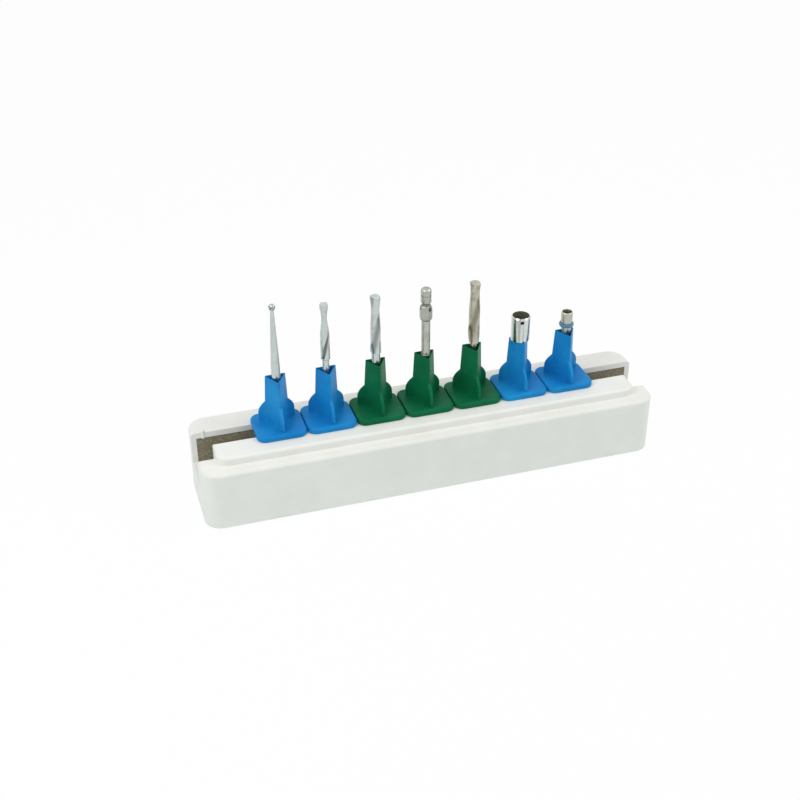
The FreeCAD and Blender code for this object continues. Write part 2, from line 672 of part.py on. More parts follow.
def build_driver(index):
    """Driver: round shaft, notched hexagon collar, grooved cap with a rounded top."""
    body = new_body("hex_driver")
    profile = new_sketch(body, "DriverProfile", "XZ_Plane")
    reach = above_rim("driver_reach")
    ring_low = "(%s - Sizes.driver_ring_drop - Sizes.driver_ring_length)" % RIM
    ring_high = "(%s - Sizes.driver_ring_drop)" % RIM
    groove_low = "(%s - Sizes.driver_groove_drop - Sizes.driver_groove_width)" % reach
    groove_high = "(%s - Sizes.driver_groove_drop)" % reach
    waist_low = "(%s - Sizes.driver_waist_drop - Sizes.driver_waist_length)" % reach
    cap, shaft = size("driver_cap"), size("driver_shaft")
    in_groove = "(Sizes.driver_cap - Sizes.driver_groove)"
    corners = shank_profile() + [
        (size("shank_radius"), ring_low), (size("driver_ring"), ring_low), (size("driver_ring"), ring_high),
        (shaft, ring_high), (shaft, waist_low), (size("driver_waist"), waist_low),
        (size("driver_waist"), "(%s - Sizes.driver_waist_drop)" % reach),
        (cap, "(%s - Sizes.driver_waist_drop + Sizes.driver_cap - Sizes.driver_waist)" % reach),
        (cap, groove_low), (in_groove, groove_low), (in_groove, groove_high), (cap, groove_high),
        (cap, reach), ("0", reach)]
    polygon(profile, corners)
    revolve(body, "DriverBlank", profile)
    top = number(reach)
    dress(body, "Fillet", "CapRound", size("driver_cap_round"), lambda e: level(e, top))
    collar_low = "(%s - Sizes.driver_hex_length)" % waist_low
    collar = new_sketch(body, "CollarOutline", "XY_Plane", collar_low)
    hexagon(collar, size("driver_hex"))
    pad(body, "Collar", collar, size("driver_hex_length"))
    widest = "(Sizes.driver_hex + Sizes.driver_hex_bevel)"
    narrow = "(Sizes.driver_hex - Sizes.driver_hex_bevel)"
    for name, end, sign in (("LowBevel", collar_low, "+"), ("HighBevel", waist_low, "-")):
        outline = new_sketch(body, name + "Outline", "XZ_Plane")
        polygon(outline, [(narrow, end), (widest, end),
                          (widest, "(%s %s 2 * Sizes.driver_hex_bevel)" % (end, sign))])
        turn_away(body, name, outline)
    notch = new_sketch(body, "NotchOutline", "XY_Plane", waist_low)
    rectangle(notch, "-Sizes.driver_notch_width / 2", "Sizes.driver_notch_width / 2",
              "-2 * Sizes.driver_hex", "(Sizes.driver_notch - Sizes.driver_hex * cos(30))")
    first = cut(body, "Notch", notch, "(Sizes.driver_hex_length / 2)")
    pattern = body.newObject("PartDesign::PolarPattern", "Notches")
    pattern.Originals = [first]
    pattern.Axis = (origin_plane(body, "Z_Axis"), [""])
    pattern.Occurrences = 3
    pattern.Angle = 360
    body.Tip = pattern
    doc.recompute()
    cut_flat(body)
    seat_instrument(body, index)
    return body


def build_punch(index):
    """Tissue punch: wide thin walled cup with a bevelled cutting edge and a side window, on a latch shank."""
    body = new_body("tissue_punch")
    profile = new_sketch(body, "PunchProfile", "XZ_Plane")
    edge = above_rim("punch_height")
    inner = "(Sizes.punch_radius - Sizes.punch_wall)"
    bottom = "(%s - Sizes.punch_bore)" % edge
    corners = shank_profile() + [
        (size("shank_radius"), size("socket_length")), (size("punch_radius"), size("socket_length")),
        (size("punch_radius"), "(%s - Sizes.punch_bevel)" % edge), (inner, edge),
        (inner, bottom), ("0", bottom)]
    polygon(profile, corners)
    revolve(body, "PunchBlank", profile)
    window = new_sketch(body, "WindowOutline", "XZ_Plane")
    circle(window, "0", "(%s - Sizes.punch_window_drop)" % edge, size("punch_window"))
    cut(body, "Window", window, "(2 * Sizes.punch_radius)")
    cut_flat(body)
    seat_instrument(body, index)
    return body


def build_stopper(index):
    """Drill stop: short hollow cylinder on a latch shank, with a seat for the coloured ring."""
    body = new_body("drill_stop")
    profile = new_sketch(body, "StopProfile", "XZ_Plane")
    seat, edge = above_rim("stopper_collar_drop"), above_rim("stopper_reach")
    ring_top = "(%s + Sizes.ring_length)" % seat
    inside = "(%s - Sizes.stopper_bore_depth)" % edge
    mouth = "(%s - Sizes.funnel_length)" % RIM
    corners = shank_profile() + [
        (size("shank_radius"), mouth), (size("stopper_seat"), RIM), (size("stopper_seat"), ring_top),
        (size("stopper_radius"), ring_top), (size("stopper_radius"), edge), (size("stopper_bore"), edge),
        (size("stopper_bore"), inside), ("0", inside)]
    polygon(profile, corners)
    revolve(body, "StopBlank", profile)
    cut_flat(body)
    seat_instrument(body, index)
    return body


def build_ring(index):
    """Coloured marking ring under the shoulder of the drill stop."""
    body = new_body("marking_ring")
    outline = new_sketch(body, "RingOutline", "XY_Plane", above_rim("stopper_collar_drop"))
    circle(outline, "0", "0", size("ring_radius"))
    circle(outline, "0", "0", "(Sizes.stopper_seat + Sizes.ring_gap)")
    pad(body, "Ring", outline, size("ring_length"))
    low = number(above_rim("stopper_collar_drop"))
    high = low + number(size("ring_length"))
    outer = number(size("ring_radius"))
    dress(body, "Chamfer", "RingEdges", "(0.3 * (Sizes.ring_radius - Sizes.stopper_seat))",
          lambda e: (level(e, low) or level(e, high)) and near(e.BoundBox.XMax, outer))
    seat_instrument(body, index)
    return body


INSTRUMENTS = (build_round_bur, build_pilot_drill,
               lambda index: build_twist_drill("twist_drill_short", index, "short_drill"), build_driver,
               lambda index: build_twist_drill("twist_drill_long", index, "long_drill", neck=True),
               build_punch, build_stopper)

pieces = [build_block(), build_rail(), build_strip(), build_stop()]
for place_index, build_instrument in enumerate(INSTRUMENTS):
    pieces.append(build_holder(place_index))
    pieces.append(build_instrument(place_index))
pieces.append(build_ring(len(INSTRUMENTS) - 1))
doc.recompute()

for item in doc.Objects:
    if "Invalid" in item.State or "Error" in item.State:
        raise RuntimeError("%s failed: %s" % (item.Name, item.State))
for piece in pieces:
    if piece.Shape.isNull() or not piece.Shape.isValid() or len(piece.Shape.Solids) != 1:
        raise RuntimeError("%s has no single valid solid" % piece.Label)

os.makedirs("parts", exist_ok=True)
for piece in pieces:
    piece.Shape.exportStep(os.path.join("parts", piece.Label + ".step"))
    print(piece.Label, round(piece.Shape.Volume, 3), [round(v, 2) for v in (
        piece.Shape.BoundBox.XMin, piece.Shape.BoundBox.XMax, piece.Shape.BoundBox.YMin,
        piece.Shape.BoundBox.YMax, piece.Shape.BoundBox.ZMin, piece.Shape.BoundBox.ZMax)])
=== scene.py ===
"""Looks of the implant instrument organizer: stand, seven coloured holders and their instruments."""
import logging
import math
import random
from collections.abc import Callable, Iterable, Sequence
from dataclasses import dataclass, field
from enum import Enum
from functools import cache

import bmesh
import bpy
from mathutils import Matrix, Vector


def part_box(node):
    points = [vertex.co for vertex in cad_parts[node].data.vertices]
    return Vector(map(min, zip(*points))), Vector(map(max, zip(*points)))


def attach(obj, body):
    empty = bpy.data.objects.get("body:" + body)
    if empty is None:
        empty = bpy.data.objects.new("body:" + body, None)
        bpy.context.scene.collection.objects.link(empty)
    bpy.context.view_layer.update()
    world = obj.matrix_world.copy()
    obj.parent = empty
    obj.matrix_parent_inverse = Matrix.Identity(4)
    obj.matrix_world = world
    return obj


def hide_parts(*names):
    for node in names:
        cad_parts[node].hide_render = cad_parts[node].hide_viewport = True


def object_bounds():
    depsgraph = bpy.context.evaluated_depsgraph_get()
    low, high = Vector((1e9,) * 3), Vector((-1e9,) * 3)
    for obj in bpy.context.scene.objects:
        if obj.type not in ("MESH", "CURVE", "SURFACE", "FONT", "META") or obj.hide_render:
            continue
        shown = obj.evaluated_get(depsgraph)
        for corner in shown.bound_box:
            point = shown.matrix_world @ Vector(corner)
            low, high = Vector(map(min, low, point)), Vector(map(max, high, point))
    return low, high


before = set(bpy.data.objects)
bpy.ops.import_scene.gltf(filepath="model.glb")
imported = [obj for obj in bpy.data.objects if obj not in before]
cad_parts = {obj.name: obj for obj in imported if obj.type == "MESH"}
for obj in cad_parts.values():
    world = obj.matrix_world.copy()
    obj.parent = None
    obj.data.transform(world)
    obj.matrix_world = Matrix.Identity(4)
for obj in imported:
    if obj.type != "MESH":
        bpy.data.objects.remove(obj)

Colour = tuple[float, float, float, float]
Triple = tuple[float, float, float]
Socket = bpy.types.NodeSocket
Rows = list[list[bmesh.types.BMVert]]

LOG = logging.getLogger("organizer")
CAD_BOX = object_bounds()

MM = 0.001               # one millimetre in metres; lengths are in millimetres up to the finished meshes
SHANK = 1.175            # radius of the latch shank
SOCKET = 14.0            # socket floor to the datum of the instruments' heights
RIM_TO_DATUM = 0.85      # rim of a holder to that datum
RIM_FROM_PLATE = 14.9    # underside of a holder's plate to its rim
SHADED_DEPTH = "hollow"        # attribute: depth in a flute, notch or bore, from 0 to 1, from which the steels paint shade
AXIS_FROM_FRONT = 7.0    # front edge of a holder's plate to its tube axis
FULL_TURN = 2.0 * math.pi
CORNERS = (-90.0, 30.0, 150.0)   # directions of a holder's corners and fins: front, right, left
CORNER_STEPS = 6         # steps of the arc round a corner
EDGE_ANGLE = 32.0        # edges of a solid that turn more than this many degrees are rounded
WELD = 1e-4              # vertices nearer than this become one
SLIVER = 1e-5            # edges shorter than this are dissolved
NEAR_SURFACE = 0.03      # points this near to the outer surface don't count as hollow
UNDER_BORE = 0.1         # shade starts this far under the bottom of a bore
MIX_SHARE, MIX_FIRST, MIX_SECOND, MIX_RESULT = 0, 6, 7, 2   # sockets of the Mix node for colours


def tone(red: int, green: int, blue: int) -> Colour:
    """Turn a screen colour into the linear colour that a shader takes.

    Args:
        red: red, 0 to 255.
        green: green, 0 to 255.
        blue: blue, 0 to 255.

    Returns:
        Linear red, green, blue and an alpha of 1.
    """
    def linear(value: int) -> float:
        """Undo the screen's curve for one channel."""
        share = value / 255.0
        return share / 12.92 if share <= 0.04045 else ((share + 0.055) / 1.055) ** 2.4

    return (linear(red), linear(green), linear(blue), 1.0)


def dimmed(colour: Colour, share: float) -> Colour:
    """Colour with its red, green and blue multiplied by a share."""
    red, green, blue, alpha = colour
    return (share * red, share * green, share * blue, alpha)


def held(value: float, low: float = 0.0) -> float:
    """Value kept between low and 1."""
    return min(1.0, max(low, value))


def add_object(name: str, data: bpy.types.ID) -> bpy.types.Object:
    """Make an object and put it in the scene.

    Args:
        name: name of the object.
        data: its mesh, light or camera.

    Returns:
        The new object.
    """
    item = bpy.data.objects.new(name, data)
    bpy.context.scene.collection.objects.link(item)
    return item


class Graph:
    """Node tree of one material, with short calls to add and join nodes."""

    def __init__(self, name: str) -> None:
        """Make an empty material with its output and surface shader.

        Args:
            name: name of the material.
        """
        self.material = bpy.data.materials.new(name)
        self.material.use_nodes = True
        self.tree = self.material.node_tree
        self.tree.nodes.clear()
        self.output = self.tree.nodes.new("ShaderNodeOutputMaterial")
        self.surface = self.tree.nodes.new("ShaderNodeBsdfPrincipled")
        self.join(self.surface.outputs["BSDF"], self.output.inputs["Surface"])
        self.place = self.tree.nodes.new("ShaderNodeTexCoord").outputs["Object"]

    def join(self, source: Socket, target: Socket) -> None:
        """Link one socket to another."""
        self.tree.links.new(source, target)

    def add(self, kind: str, **values: object) -> bpy.types.Node:
        """Add a node and set its properties.

        Args:
            kind: node type without its ShaderNode prefix.
            values: properties of the node.

        Returns:
            The new node.
        """
        node = self.tree.nodes.new("ShaderNode" + kind)
        for key, value in values.items():
            setattr(node, key, value)
        return node

    def stretched(self, scale: Triple) -> Socket:
        """Object coordinates, in metres, multiplied on each axis.

        Args:
            scale: factor on X, Y and Z.

        Returns:
            The vector output.
        """
        mapping = self.add("Mapping")
        mapping.inputs["Scale"].default_value = scale
        self.join(self.place, mapping.inputs["Vector"])
        return mapping.outputs["Vector"]

    def noise(self, size: float, detail: float = 3.0, rough: float = 0.55,
              place: Socket | None = None) -> Socket:
        """Noise whose features are about the given size.

        Args:
            size: size of a feature in millimetres, in unstretched coordinates.
            detail: octaves of finer noise.
            rough: strength of the finer octaves.
            place: coordinates, or None for plain object coordinates.

        Returns:
            The noise value.
        """
        node = self.add("TexNoise")
        node.inputs["Scale"].default_value = 1.0 / (size * MM)
        node.inputs["Detail"].default_value = detail
        node.inputs["Roughness"].default_value = rough
        self.join(place or self.place, node.inputs["Vector"])
        return node.outputs["Fac"]

    def depth(self) -> Socket:
        """Depth in a flute, notch or bore, from which shade is painted: 0 on the outer surface, 1 at the
        bottom.
        """
        return self.add("Attribute", attribute_name=SHADED_DEPTH).outputs["Fac"]

    def spread(self, value: Socket, low: float, high: float,
               start: float = 0.3, end: float = 0.7) -> Socket:
        """Map a value from start..end to low..high.

        Args:
            value: driving value.
            low: result at start.
            high: result at end.
            start: lower end of the value that is used.
            end: upper end of the value that is used.

        Returns:
            The mapped value.
        """
        node = self.add("MapRange")
        for key, number in (("From Min", start), ("From Max", end), ("To Min", low), ("To Max", high)):
            node.inputs[key].default_value = number
        self.join(value, node.inputs["Value"])
        return node.outputs["Result"]

    def blend(self, share: Socket, first: Socket | Colour, second: Socket | Colour) -> Socket:
        """Mix two colours.

        Args:
            share: part of the second colour.
            first: colour or socket.
            second: colour or socket.

        Returns:
            The mixed colour.
        """
        node = self.add("Mix", data_type="RGBA")
        self.join(share, node.inputs[MIX_SHARE])
        for place, colour in ((MIX_FIRST, first), (MIX_SECOND, second)):
            if isinstance(colour, tuple):
                node.inputs[place].default_value = colour
            else:
                self.join(colour, node.inputs[place])
        return node.outputs[MIX_RESULT]

    def bump(self, *layers: tuple[Socket, float]) -> None:
        """Stack bump layers on the surface.

        Args:
            layers: height value and its depth in millimetres, from the coarsest to the finest.
        """
        previous = None
        for height, depth in layers:
            node = self.add("Bump")
            node.inputs["Distance"].default_value = depth * MM
            self.join(height, node.inputs["Height"])
            if previous is not None:
                self.join(previous, node.inputs["Normal"])
            previous = node.outputs["Normal"]
        if previous is not None:
            self.join(previous, self.surface.inputs["Normal"])

    def drive(self, name: str, value: Socket) -> None:
        """Link a value to the input of the surface shader that has this name."""
        self.join(value, self.surface.inputs[name])

    def set(self, **values: float) -> None:
        """Set plain numbers on the surface shader; an underscore in a name stands for a space."""
        for key, value in values.items():
            self.surface.inputs[key.replace("_", " ")].default_value = value


@dataclass(frozen=True)
class MouldedPlastic:
    """Injection moulded plastic: slight flow marks, satin skin, fine spark-eroded grain.

    Attributes:
        name: name of the material.
        colour: its colour.
        deep: its colour in the darker clouds.
        rough: middle roughness.
        grain: size of the grain.
        grain_depth: depth of the grain.
        gloss: strength of the reflections.
        cloud: size of the clouds in the colour.
        cloud_depth: depth of the sink marks that follow the clouds.
        flow: size of the flow marks.
        flow_squeeze: factor that draws the flow marks out along X.
        index: index of refraction.
    """

    name: str
    colour: Colour
    deep: Colour
    rough: float = 0.42
    grain: float = 0.35
    grain_depth: float = 0.006
    gloss: float = 0.28
    cloud: float = 9.0
    cloud_depth: float = 0.05
    flow: float = 1.6
    flow_squeeze: float = 0.35
    index: float = 1.49

    def material(self) -> bpy.types.Material:
        """Build the material."""
        graph = Graph(self.name)
        cloud = graph.noise(self.cloud, detail=4.0)
        flow = graph.noise(self.flow, detail=2.0, place=graph.stretched((self.flow_squeeze, 1.0, 1.0)))
        mottle = graph.blend(graph.spread(cloud, 0.0, 1.0, start=0.35, end=0.68), self.colour, self.deep)
        streak = graph.blend(graph.spread(flow, 0.0, 0.35, start=0.45, end=0.75), mottle, self.deep)
        graph.drive("Base Color", streak)
        skin = graph.noise(self.grain, detail=3.0, rough=0.6)
        graph.drive("Roughness", graph.spread(skin, self.rough - 0.05, self.rough + 0.08))
        graph.bump((cloud, self.cloud_depth), (skin, self.grain_depth))
        graph.set(IOR=self.index, Specular_IOR_Level=self.gloss)
        return graph.material


@dataclass(frozen=True)
class GritSheet:
    """Dark brown grip sheet with pale mineral grains.

    Attributes:
        name: name of the material.
        ground: colour of the sheet.
        stain: colour of its stains and of the darker grains.
        mineral: colour of the pale grains.
        cloud: size of the stains.
        cell: size of a grain.
        cell_depth: height of the grains.
        fleck: size of the patches in which grains show.
        crumb: size of the fine crumbs.
        crumb_depth: depth of the fine crumbs.
        gloss: strength of the reflections.
    """

    name: str = "grit_sheet"
    ground: Colour = tone(136, 129, 107)
    stain: Colour = tone(112, 104, 84)
    mineral: Colour = tone(190, 182, 158)
    cloud: float = 4.0
    cell: float = 0.42
    cell_depth: float = 0.05
    fleck: float = 0.5
    crumb: float = 0.45
    crumb_depth: float = 0.08
    gloss: float = 0.3

    def material(self) -> bpy.types.Material:
        """Build the material."""
        graph = Graph(self.name)
        cloud = graph.noise(self.cloud, detail=4.0, rough=0.6)
        ground = graph.blend(graph.spread(cloud, 0.0, 1.0), self.ground, self.stain)
        cells = graph.add("TexVoronoi", feature="F1")
        cells.inputs["Scale"].default_value = 1.0 / (self.cell * MM)
        graph.join(graph.place, cells.inputs["Vector"])
        shade = graph.blend(cells.outputs["Color"], self.stain, self.mineral)
        pale = graph.spread(graph.noise(self.fleck, detail=3.0, rough=0.7), 0.0, 0.75, start=0.42, end=0.62)
        graph.drive("Base Color", graph.blend(pale, ground, shade))
        graph.drive("Roughness", graph.spread(cloud, 0.75, 0.95))
        crumbs = graph.noise(self.crumb, detail=4.0, rough=0.7)
        graph.bump((crumbs, self.crumb_depth), (cells.outputs["Distance"], self.cell_depth))
        graph.set(Specular_IOR_Level=self.gloss)
        return graph.material


@dataclass(frozen=True)
class TurnedSteel:
    """Satin surgical steel with fine lathe rings, faint tarnish and small handling marks; painted shade deep
    in its flutes, notches and bores.

    Attributes:
        name: name of the material.
        colour: colour of the clean steel.
        tarnish: colour of the tarnish.
        rough: middle roughness.
        ring_pitch: size of the lathe rings along the axis.
        ring_depth: depth of the lathe rings.
        stain: strength of the tarnish.
        shade: brightness of the painted shade at the bottom of a hollow, drawn in the tarnish's colour.
        dull: brightness of the darker lathe rings.
        smear: size of the tarnished places.
        mark: size of the handling marks.
        mark_depth: depth of the handling marks.
    """

    name: str
    colour: Colour
    tarnish: Colour
    rough: float = 0.3
    ring_pitch: float = 0.16
    ring_depth: float = 0.004
    stain: float = 0.45
    shade: float = 0.46
    dull: float = 0.72
    smear: float = 1.9
    mark: float = 0.3
    mark_depth: float = 0.0015

    def material(self) -> bpy.types.Material:
        """Build the material."""
        graph = Graph(self.name)
        rings = graph.noise(self.ring_pitch, detail=2.0, rough=0.6, place=graph.stretched((0.02, 0.02, 1.0)))
        smear = graph.noise(self.smear, detail=4.0, rough=0.6)
        marks = graph.noise(self.mark, detail=3.0, rough=0.7)
        cloud = graph.blend(graph.spread(smear, 0.0, self.stain, start=0.45), self.colour, self.tarnish)
        turned = graph.blend(graph.spread(rings, 0.0, 0.3, start=0.4, end=0.75), cloud,
                             dimmed(self.colour, self.dull))
        # painted shade: the steel darkens towards the tarnish's colour deep in flutes, notches and bores
        hollow = graph.spread(graph.depth(), 0.0, 1.0, start=0.05, end=0.95)
        graph.drive("Base Color", graph.blend(hollow, turned, dimmed(self.tarnish, self.shade)))
        wear = graph.add("Math", operation="ADD")
        graph.join(graph.spread(rings, self.rough - 0.07, self.rough + 0.05), wear.inputs[0])
        graph.join(graph.spread(marks, -0.03, 0.09), wear.inputs[1])
        graph.drive("Roughness", wear.outputs[0])
        graph.bump((rings, self.ring_depth), (marks, self.mark_depth))
        graph.set(Metallic=1.0)
        return graph.material


@dataclass(frozen=True)
class PolishedSteel:
    """Mirror bright steel with a barely visible polishing haze, painted dark reflection bands up its side,
    and painted shade that makes it dull and dark inside its bore.

    Attributes:
        name: name of the material.
        colour: colour of the bright steel.
        reflected_band: colour of the painted dark reflection bands that run upright.
        inside: colour of the painted shade in the bore.
        rough: middle roughness.
        dim: brightness of the hazy places.
        haze: size of the hazy places.
        sheen: width of those painted reflection bands.
        line: size of the polishing lines along the axis.
        line_depth: depth of the polishing lines.
    """

    name: str
    colour: Colour
    reflected_band: Colour
    inside: Colour
    rough: float = 0.1
    dim: float = 0.86
    haze: float = 1.2
    sheen: float = 0.9
    line: float = 0.25
    line_depth: float = 0.0012

    def material(self) -> bpy.types.Material:
        """Build the material."""
        graph = Graph(self.name)
        haze = graph.noise(self.haze, detail=4.0, rough=0.65)
        lines = graph.noise(self.line, detail=2.0, rough=0.6, place=graph.stretched((0.03, 0.03, 1.0)))
        # painted reflection: dark upright bands, as of darker things mirrored in the polished side
        sheen = graph.noise(self.sheen, detail=1.0, rough=0.4, place=graph.stretched((1.0, 1.0, 0.02)))
        plain = graph.blend(graph.spread(haze, 0.0, 1.0), self.colour, dimmed(self.colour, self.dim))
        with_reflections = graph.blend(graph.spread(sheen, 0.0, 0.75, start=0.5, end=0.62), plain, self.reflected_band)
        depth = graph.depth()
        # painted shade: darker and less metallic inside the bore
        hollow = graph.spread(depth, 0.0, 1.0, start=0.05, end=0.95)
        graph.drive("Base Color", graph.blend(hollow, with_reflections, self.inside))
        graph.drive("Metallic", graph.spread(depth, 1.0, 0.1, start=0.05, end=0.95))
        graph.drive("Roughness", graph.spread(haze, self.rough - 0.02, self.rough + 0.07))
        graph.bump((lines, self.line_depth))
        return graph.material


Finish = MouldedPlastic | GritSheet | TurnedSteel | PolishedSteel


class HolderColour(Enum):
    """Colour groups of the holders."""

    BLUE = MouldedPlastic("holder_blue", tone(30, 144, 208), tone(18, 122, 192), grain=0.25,
                          grain_depth=0.004, gloss=0.12)
    GREEN = MouldedPlastic("holder_green", tone(16, 112, 74), tone(8, 94, 58), grain=0.25,
                           grain_depth=0.004, gloss=0.1)


class Steel(Enum):
    """Metal finishes of the instruments."""

    GREY = TurnedSteel("steel_grey", tone(200, 208, 205), tone(162, 170, 165))
    STRAW = TurnedSteel("steel_straw", tone(188, 187, 171), tone(150, 143, 118), rough=0.32, stain=0.8,
                        shade=0.56)
    DRIVER = TurnedSteel("steel_driver", tone(188, 191, 180), tone(146, 153, 142), rough=0.36,
                         ring_depth=0.0012, stain=0.7)
    CHROME = PolishedSteel("steel_chrome", tone(216, 222, 220), tone(150, 156, 144), tone(112, 115, 98))
    STOP = TurnedSteel("steel_stop", tone(186, 189, 175), tone(152, 153, 135), rough=0.34, shade=0.75)


WHITE = MouldedPlastic("block_white", tone(236, 237, 233), tone(231, 232, 227), rough=0.46, grain=0.4,
                       grain_depth=0.008)
# painted light: the block's white plastic drawn a little lighter on the rail and the end stop, whose faces
# come out darker under the lamps
LIGHTENED_WHITE = MouldedPlastic("rail_white", tone(238, 240, 236), tone(233, 235, 230), rough=0.44, grain=0.4,
                            grain_depth=0.008)
RING_TEAL = MouldedPlastic("ring_teal", tone(92, 146, 174), tone(66, 118, 150), rough=0.3, grain=0.2,
                           grain_depth=0.003)
GRIT = GritSheet()


@cache
def material_of(finish: Finish) -> bpy.types.Material:
    """Material of a finish, built once."""
    return finish.material()


def coat(item: bpy.types.Object, look: Finish | Enum) -> None:
    """Give an object one material.

    Args:
        item: object to dress.
        look: a finish, or an Enum member that holds one.
    """
    finish = look.value if isinstance(look, Enum) else look
    item.data.materials.clear()
    item.data.materials.append(material_of(finish))


def soften(item: bpy.types.Object, width: float) -> None:
    """Round the sharp edges of a solid a little, as moulding does.

    Args:
        item: object to soften.
        width: width of the rounding in millimetres.
    """
    rounding = item.modifiers.new("edge_rounding", "BEVEL")
    rounding.width = width * MM
    rounding.segments = 2
    rounding.limit_method = "ANGLE"
    rounding.angle_limit = math.radians(EDGE_ANGLE)
    rounding.harden_normals = False
    rounding.use_clamp_overlap = True


def skin(name: str, rings: Sequence[Sequence[Vector]], sharp: float = 34.0, hoop: bool = False,
         pierce: Callable[[bmesh.types.BMesh, Rows], None] | None = None) -> bpy.types.Object:
    """Closed mesh over a stack of rings, with a fan at each end.

    Args:
        name: name of the piece.
        rings: rings of equal length, in millimetres, in order along the surface.
        sharp: edges that turn more than this many degrees stay crisp.
        hoop: join the last ring to the first in place of the two fans.
        pierce: work on the mesh and its rows before it is closed up, or None.

    Returns:
        The new object, in metres.
    """
    count = len(rings[0])
    mesh = bpy.data.meshes.new(name)
    build = bmesh.new()
    rows = [[build.verts.new(point * MM) for point in ring] for ring in rings]
    for lower, upper in zip(rows, rows[1:]):
        for k in range(count):
            after = (k + 1) % count
            build.faces.new((lower[k], lower[after], upper[after], upper[k]))
    if hoop:
        for k in range(count):
            after = (k + 1) % count
            build.faces.new((rows[-1][k], rows[-1][after], rows[0][after], rows[0][k]))
    ends = () if hoop else ((rows[0], True), (rows[-1], False))
    for row, flip in ends:
        centre = build.verts.new(sum((vert.co for vert in row), Vector()) / count)
        for k in range(count):
            pair = (row[k], row[(k + 1) % count])
            build.faces.new((pair[1], pair[0], centre) if flip else (pair[0], pair[1], centre))
    if pierce is not None:
        pierce(build, rows)
    bmesh.ops.remove_doubles(build, verts=build.verts, dist=WELD * MM)
    bmesh.ops.dissolve_degenerate(build, dist=SLIVER * MM, edges=build.edges)
    bmesh.ops.recalc_face_normals(build, faces=build.faces)
    build.to_mesh(mesh)
    build.free()
    mesh.shade_smooth()
    mesh.set_sharp_from_angle(angle=math.radians(sharp))
    return add_object(name, mesh)


@dataclass(frozen=True)
class Station:
    """One level of an instrument.

    Attributes:
        height: height above the socket's floor.
        radius: largest radius.
        twist: turn of the section, in radians.
        section: radius by angle, or None for a circle.
    """

    height: float
    radius: float
    twist: float = 0.0
    section: Callable[[float], float] | None = None


def turned(*levels: tuple[float, float]) -> list[Station]:
    """Stations of a turned part, from height and radius of each level."""
    return [Station(height, radius) for height, radius in levels]


def ring_at(station: Station, angles: Sequence[float], flat: float | None = None) -> list[Vector]:
    """Points of one level.

    Args:
        station: the level.
        angles: angles of the section's points, in radians.
        flat: distance of a driving flat from the axis, or None.

    Returns:
        The points in millimetres round the Z axis.
    """
    points = []
    for angle in angles:
        reach = station.radius
        if station.section is not None:
            reach = min(reach, station.section(angle))
        direction = angle + station.twist
        across, along = reach * math.cos(direction), reach * math.sin(direction)
        if flat is not None:
            along = min(along, flat)
        points.append(Vector((across, along, station.height)))
    return points


def steps(low: float, high: float, pitch: float) -> list[float]:
    """Even heights from low to high, both included."""
    count = max(1, round((high - low) / pitch))
    return [low + (high - low) * k / count for k in range(count + 1)]


@dataclass
class Instrument:
    """An instrument on a latch shank that stands on the floor of its holder's socket.

    Attributes:
        label: name of its CAD node.
        place: number of its holder.
        look: its finish.
        slot: name of its material slot; not used.
        sides: points round a section.
        chamfer: chamfer at the foot of the shank.
        groove_low: lower end of the latch groove.
        groove_high: upper end of the latch groove.
        groove_depth: depth of the latch groove.
        flat_reach: distance of the driving flat from the axis.
        flat_length: upper end of the driving flat.
        lean: how far it stands to the right of its holder's middle.
        sharp: edges that turn more than this many degrees stay crisp.
        hoop: its skin closes into a ring, so it has no end faces.
    """

    label: str
    place: int
    look: Steel | MouldedPlastic
    slot: str
    sides: int = 96
    chamfer: float = 0.12
    groove_low: float = 1.9
    groove_high: float = 2.6
    groove_depth: float = 0.35
    flat_reach: float = 0.725
    flat_length: float = 2.6
    lean: float = 0.12
    sharp: float = 34.0
    hoop: bool = False

    def shank(self, top: float) -> list[Station]:
        """Levels of the latch shank up to a height.

        Args:
            top: upper end of the plain shank.

        Returns:
            The levels from the socket's floor upward.
        """
        inner = SHANK - self.groove_depth
        return turned((0.0, SHANK - self.chamfer), (self.chamfer, SHANK), (self.groove_low, SHANK),
                      (self.groove_low, inner), (self.groove_high, inner), (self.groove_high, SHANK),
                      (top, SHANK))

    def stations(self) -> list[Station]:
        """Levels of the whole instrument; each kind gives its own."""
        return self.shank(SOCKET)

    def pierce(self, build: bmesh.types.BMesh, rows: Rows) -> None:
        """Openings through the wall; plain instruments have none.

        Args:
            build: mesh of the skin, in metres.
            rows: its vertices, one row for each station.
        """

    def hollow(self, reach: float, height: float) -> float:
        """How deep a point lies in a flute, notch or bore, which sets how much shade is painted there.

        Args:
            reach: distance from the axis in millimetres.
            height: height above the socket's floor.

        Returns:
            0 on the outer surface to 1 at the bottom.
        """
        return 0.0

    def build(self) -> bpy.types.Object:
        """Build, place and dress the instrument, and let it stand for its CAD node.

        Returns:
            The finished piece.
        """
        angles = [FULL_TURN * k / self.sides for k in range(self.sides)]
        rings = [ring_at(level, angles, self.flat_reach if level.height <= self.flat_length else None)
                 for level in self.stations()]
        front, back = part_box("holder_%d" % self.place)
        axis = Vector(((front.x + back.x) / 2 / MM + self.lean, front.y / MM + AXIS_FROM_FRONT,
                       back.z / MM + RIM_TO_DATUM - SOCKET))
        moved = [[point + axis for point in ring] for ring in rings]
        item = skin(self.label + "_piece", moved, self.sharp, self.hoop, self.pierce)
        # depth of every point in flutes, notches and bores, which the steel materials paint as shade
        depths = item.data.attributes.new(SHADED_DEPTH, "FLOAT", "POINT")
        for vertex, entry in zip(item.data.vertices, depths.data):
            spot = vertex.co / MM - axis
            entry.value = self.hollow(math.hypot(spot.x, spot.y), spot.z)
        coat(item, self.look)
        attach(item, "carrier_%d" % self.place)
        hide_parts(self.label)
        LOG.info("%s: %d faces", item.name, len(item.data.polygons))
        return item


